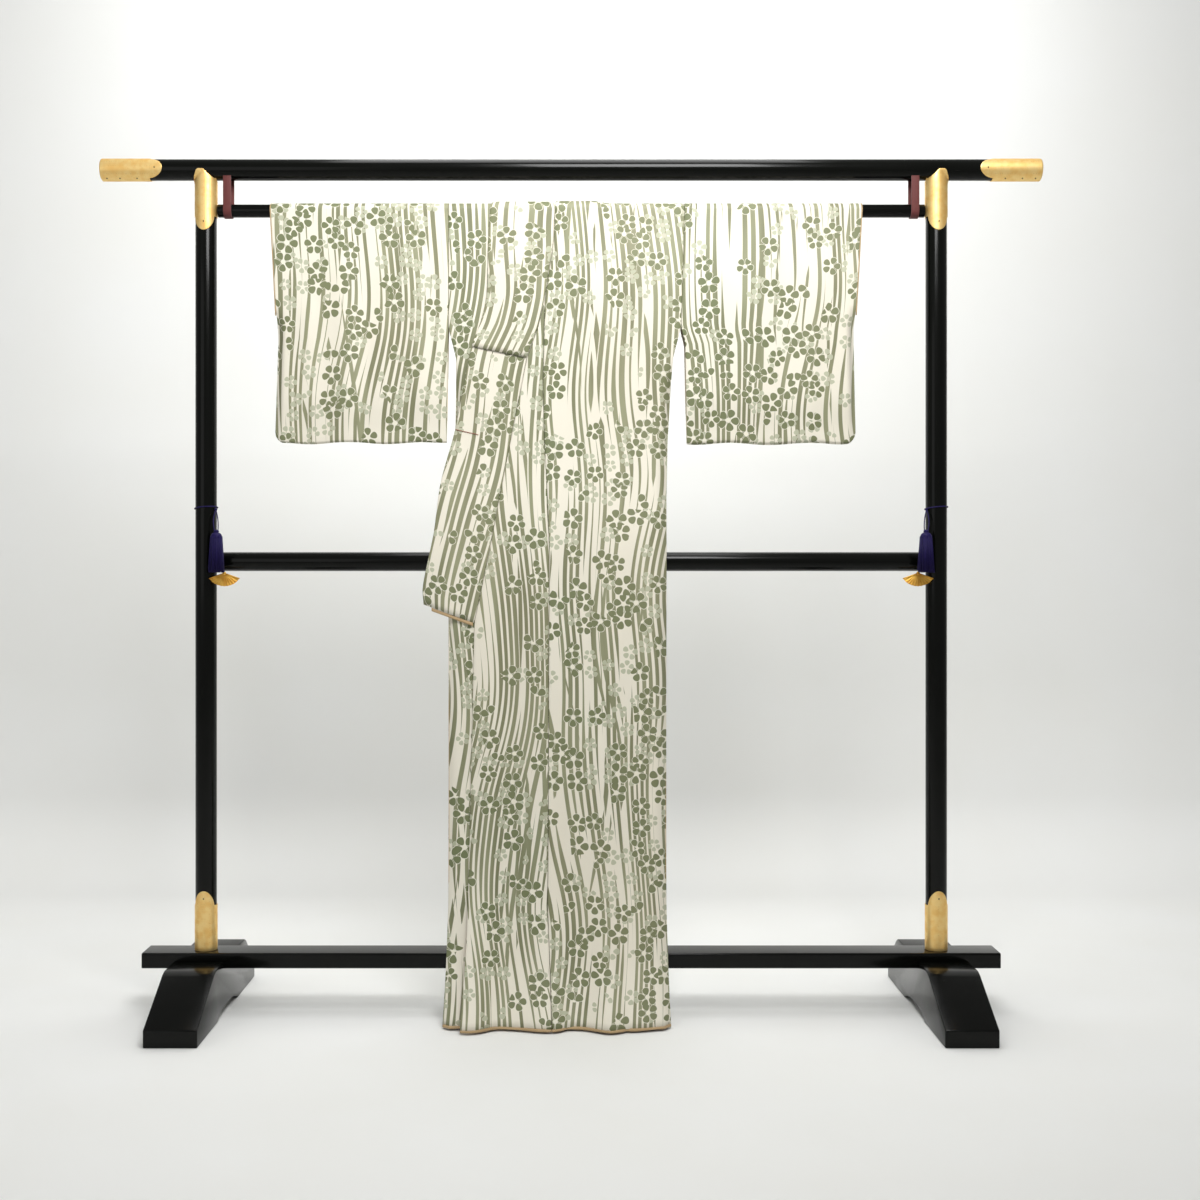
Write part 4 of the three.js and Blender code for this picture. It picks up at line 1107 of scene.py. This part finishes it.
def makeFittings(half, out, gold, bronze):
    low = half.lower()
    for name, node, rows, pointAt in (("beamCap", "beam_cap_", 50, capPoint),
                                      ("fittingHigh", "fitting_high_", 40, highPoint),
                                      ("fittingLow", "fitting_low_", 12, lowPoint)):
        giltSleeve(name + half, node + low, rows, lambda angle, t: pointAt(out, angle, t), gold)
    radius, inner = fitting["radius"], fitting["capInner"]
    postX, beamZ = out * rack["postX"], rack["beamHeight"]
    spots = []
    for side in (-1, 1):
        for x, z in ((postX, fitting["highNail"]), (postX, fitting["lowNail"]),
                     (out * (inner + fitting["capNail"]), beamZ)):
            spots.append(((x, side * radius, z), (0, side, 0)))
    forward, down = fitting["underFace"]
    for place in fitting["underNails"]:
        at = (out * (inner + place), -radius * forward, beamZ - radius * down)
        spots.append((at, (0, -forward, -down)))
    nails("nails" + half, spots, bronze)


def makeRack(black, golds, bronze, strap, purple):
    for name, node, axis in (("topBeam", "top_beam", 0), ("hangingRod", "hanging_rod", 0),
                             ("midRail", "mid_rail", 0), ("postLeft", "post_left", 2),
                             ("postRight", "post_right", 2)):
        roundBar(name, node, axis, black)
    softCopy("lowRail", "low_rail", black, 0.0015, 3, 40)
    for half, out in (("Left", 1), ("Right", -1)):
        low = half.lower()
        softCopy("foot" + half, "foot_" + low, black, 0.0022, 3, 30)
        makeFittings(half, out, golds[0], bronze)
        softCopy("loop" + half, "loop_" + low, strap, 0.0005, 2, 60)
        makeFan(half, low, golds[1])
        makeTassel(half, low, out, purple)


fan = {
    "ribs": 11, "steps": 6, "reachX": 0.0325, "reachZ": 0.0262, "spread": 66, "hub": 0.0035, "fold": 0.0011,
    "inner": 0.12, "notch": 0.025, "leafOut": 0.0014, "thick": 0.0011, "guardOut": 0.0024,
    "guardRadius": 0.0012, "guardShares": (0.02, 0.4, 0.75, 1.02), "rivet": (0.0038, 0.00228, 0.0038),
    "rivetOut": 0.0030, "rivetDrop": 0.0006,
}


def makeFan(half, low, gold):
    low3, high3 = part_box("fan_" + low)
    middleX, wall = (low3.x + high3.x) / 2, high3.y
    folds, spread, hubZ = fan["ribs"] * 2, math.radians(fan["spread"]), high3.z - fan["hub"]

    def onFan(angle, reach, out):
        return Vector((middleX + fan["reachX"] * reach * math.sin(angle), wall - out,
                       hubZ - fan["reachZ"] * reach * math.cos(angle)))
    shape = bmesh.new()
    for vert, (i, k) in gridSpots(shape, fan["steps"] + 1, folds + 1).items():
        t, valley = i / fan["steps"], k % 2
        notch = 0 if valley or i < fan["steps"] else fan["notch"]
        reach = fan["inner"] + (1 - fan["inner"]) * t - notch
        vert.co = onFan((k / folds - 0.5) * 2 * spread, reach, fan["leafOut"] + fan["fold"] * valley * t)
    shape.normal_update()
    if sum(face.normal.y for face in shape.faces) > 0:
        bmesh.ops.reverse_faces(shape, faces=shape.faces)
    leaf = finishMesh("fan" + half, shape, [gold])
    thickenPiece(leaf, fan["thick"])
    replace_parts(leaf, "fan_" + low)
    guards = bmesh.new()
    for side in (-1, 1):  # outer ribs, and then the rivet
        points = [onFan(side * spread, t, fan["guardOut"]) for t in fan["guardShares"]]
        tube(guards, points, fan["guardRadius"], 8)
    ball(guards, (middleX, wall - fan["rivetOut"], hubZ - fan["rivetDrop"]), fan["rivet"], 20)
    closeTubes(guards)
    finishMesh("fanRibs" + half, guards, [gold])


def tube(shape, points, radius, around):
    last = len(points) - 1
    for vert, (i, k) in gridSpots(shape, last + 1, around + 1).items():
        a = 2 * math.pi * k / around
        ahead = (points[min(i + 1, last)] - points[max(i - 1, 0)]).normalized()
        side = ahead.cross(Vector((0.1, 1.0, 0.2))).normalized()  # any direction that no cord runs along
        vert.co = points[i] + (side * math.cos(a) + side.cross(ahead) * math.sin(a)) * radius


def closeTubes(shape):
    bmesh.ops.remove_doubles(shape, verts=shape.verts, dist=0.000002)
    bmesh.ops.holes_fill(shape, edges=shape.edges, sides=12)
    bmesh.ops.recalc_face_normals(shape, faces=shape.faces)
    smoothFaces(shape)


tasselForm = {
    "top": 0.955, "longer": 0.003, "head": (0.34, 0.0040), "dome": (0.72, 0.0090), "domeDrop": 0.0100,
    "strands": 120, "strandRadius": 0.0011, "strandTop": 0.0060, "goldenAngle": 2.39996, "uneven": 0.0010,
    "lag": 0.0035, "fuller": 0.0006, "narrow": 0.68, "flare": (-0.2, 0.9), "stray": 0.02, "twist": 0.1,
    "band": 1.003, "ringProud": 0.0014, "ringSlope": 0.0026, "ringCord": 0.0013, "ringSteps": 48,
    "knot": (0.96, 0.42, 0.003), "knotRadius": 0.0030, "dropCord": 0.0011, "dropApart": 0.0030,
    "bow": 0.003, "dropSteps": 12, "sunk": 0.002,
}


def tasselStrand(shape, n, middle, radius, bottom):
    form = tasselForm
    start, share = form["top"] - form["strandTop"], math.sqrt((n + 0.5) / form["strands"])
    lag, angle = form["lag"] * share * share, n * form["goldenAngle"]
    length = start - bottom - form["uneven"] * (n % 5) - lag
    strand = bmesh.ops.create_cone(shape, cap_ends=True, segments=5, radius1=form["strandRadius"],
                                   radius2=form["strandRadius"] * 0.8, depth=length)
    for vert in strand["verts"]:
        t = 0.5 - vert.co.z / length
        flare = form["narrow"] + (1 - form["narrow"]) * ramp(*form["flare"], t)
        reach = share * (radius + form["fuller"]) * (flare + form["stray"] * math.sin(n * 1.7) * t)
        vert.co.x += middle.x + reach * math.cos(angle + form["twist"] * t)
        vert.co.y += middle.y + reach * math.sin(angle + form["twist"] * t)
        vert.co.z = start - lag - length * t


def tasselCords(middle, out):
    form = tasselForm
    cords = bmesh.new()
    ringRadius, postX, band = rack["postRadius"] + form["ringProud"], out * rack["postX"], form["band"]
    ring = []
    for i in range(form["ringSteps"] + 1):
        a = 2 * math.pi * i / form["ringSteps"]
        height = band + form["ringSlope"] * math.sin(a + 0.8)
        ring.append(Vector((postX + ringRadius * math.sin(a), -ringRadius * math.cos(a), height)))
    tube(cords, ring, form["ringCord"], 8)
    inward, forward, below = form["knot"]
    knot = Vector((postX - out * ringRadius * inward, -ringRadius * forward, band - below))
    for side in (-1, 1):  # two strands of the loop down to the head
        foot = Vector((middle.x + side * form["dropApart"], middle.y, form["top"] - form["sunk"]))
        bow = Vector((side * form["dropApart"], -form["bow"], 0.0))
        shares = [i / form["dropSteps"] for i in range(form["dropSteps"] + 1)]
        points = [knot.lerp(foot, t) + bow * math.sin(math.pi * t) for t in shares]
        tube(cords, points, form["dropCord"], 8)
    ball(cords, knot, (form["knotRadius"],) * 3)
    closeTubes(cords)
    return cords


def makeTassel(half, low, out, purple):
    low3, high3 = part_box("tassel_" + low)
    middle, radius = (low3 + high3) / 2, (high3.x - low3.x) / 2
    shape = bmesh.new()
    for (share, tall), drop in ((tasselForm["head"], 0.0), (tasselForm["dome"], tasselForm["domeDrop"])):
        centre = (middle.x, middle.y, tasselForm["top"] - drop)
        ball(shape, centre, (radius * share, radius * share, tall), 28, 14)
    for n in range(tasselForm["strands"]):
        tasselStrand(shape, n, middle, radius, low3.z - tasselForm["longer"])
    smoothFaces(shape)
    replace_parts(finishMesh("tassel" + half, shape, [purple]), "tassel_" + low)
    cords = finishMesh("tasselCord" + half, tasselCords(middle, out), [purple])
    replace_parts(cords, "tassel_cord_" + low)


# surroundings
studio = {
    "floor": paint(240, 241, 240), "wall": paint(236, 236, 232), "wallDistance": 0.9, "reach": 4.0,
    "turn": 0.5, "turnRadius": 0.32, "rows": 24, "mottle": 3,
    "key": {"at": (0.30, -1.55, 2.80), "aim": (0.0, 0.0, 1.85), "size": 1.0, "power": 30, "spread": 124},
    "fill": {"at": (-2.2, -2.8, 1.7), "aim": (0.0, 0.0, 1.0), "size": 2.0, "power": 9},
    "wash": {"at": (0.0, 0.30, 3.2), "aim": (0.0, 1.25, 0.9), "size": 1.6, "power": 38},
    "world": 0.32, "sky": (1.0, 1.0, 0.99, 1.0),
}


def floorLook():
    look = Look("paleFloor", "lacquer", Roughness=0.7)
    mottle = look.noise(look.place(), studio["mottle"], 3.0)
    look.use(Base_Color=look.mix(mottle, studio["floor"], studio["wall"]))
    behind = look.node("NewGeometry", None, None, "Backfacing")  # clear when seen from behind
    clear = look.node("BsdfTransparent")
    shown = look.node("MixShader", None, {0: behind, 1: Value(look, look.shader.outputs[0]), 2: clear})
    look.feed(look.tree.nodes["Material Output"].inputs["Surface"], shown)
    return look.material


def makeFloor():
    wall, run, radius = studio["wallDistance"], studio["turn"], studio["turnRadius"]
    shape = bmesh.new()
    bmesh.ops.create_grid(shape, x_segments=2, y_segments=studio["rows"], size=studio["reach"])
    for vert in shape.verts:
        y = vert.co.y
        if y > wall:  # the floor turns up into the backdrop
            turn = min(1.0, (y - wall) / run) * math.pi / 2
            vert.co.y = wall + radius * math.sin(turn)
            vert.co.z = radius * (1 - math.cos(turn)) + max(0.0, y - wall - run)
    smoothFaces(shape)
    mesh = bpy.data.meshes.new("paleFloor")
    shape.to_mesh(mesh)
    shape.free()
    mesh.materials.append(floorLook())
    floor = bpy.data.objects.new("paleFloor", mesh)
    bpy.context.scene.collection.objects.link(floor)


def makeStudio():
    makeFloor()
    for name in ("key", "fill", "wash"):
        setting = studio[name]
        lamp = bpy.data.objects.new(name, bpy.data.lights.new(name, "AREA"))
        lamp.data.energy, lamp.data.size = setting["power"], setting["size"]
        lamp.data.spread = math.radians(setting.get("spread", 180))
        lamp.location = setting["at"]
        aim = Vector(setting["aim"]) - lamp.location
        lamp.rotation_euler = aim.to_track_quat("-Z", "Y").to_euler()
        bpy.context.scene.collection.objects.link(lamp)
    world = bpy.context.scene.world or bpy.data.worlds.new("studio")
    bpy.context.scene.world = world
    world.use_nodes = True
    background = world.node_tree.nodes["Background"]
    background.inputs[0].default_value = studio["sky"]
    background.inputs[1].default_value = studio["world"]
    bpy.context.scene.view_settings.view_transform = "Standard"


silk, lining, edging = printedSilk(), liningSilk(), edgeSilk()
# first colour: the over-collar end's thread together with painted shadow under its fold; second colour: the
# piecing seam's thread
threadAndShadowLooks = [threadAndShadowLook("threadAndFoldShadow", paint(44, 42, 38), paint(86, 80, 70)),
           threadAndShadowLook("rustThread", paint(120, 66, 50), paint(158, 104, 84))]
print("materials made")
makeBodies(silk, lining)
print("bodies made")
makeOverlaps(silk, lining)
makeCollars(silk, lining, threadAndShadowLooks)
print("overlaps and collars made")
for sleeveHalf in ("left", "right"):
    makeSleeve(sleeveHalf, silk, lining)
makeLinings(edging)
print("sleeves and linings made")
golds = [gilt("gilt", paint(255, 220, 146), paint(248, 202, 120)),
         gilt("oldGilt", paint(232, 184, 84), paint(202, 146, 56))]
makeRack(lacquer(), golds, bronze(), wovenStrap(), purpleSilk())
print("rack made")
makeStudio()
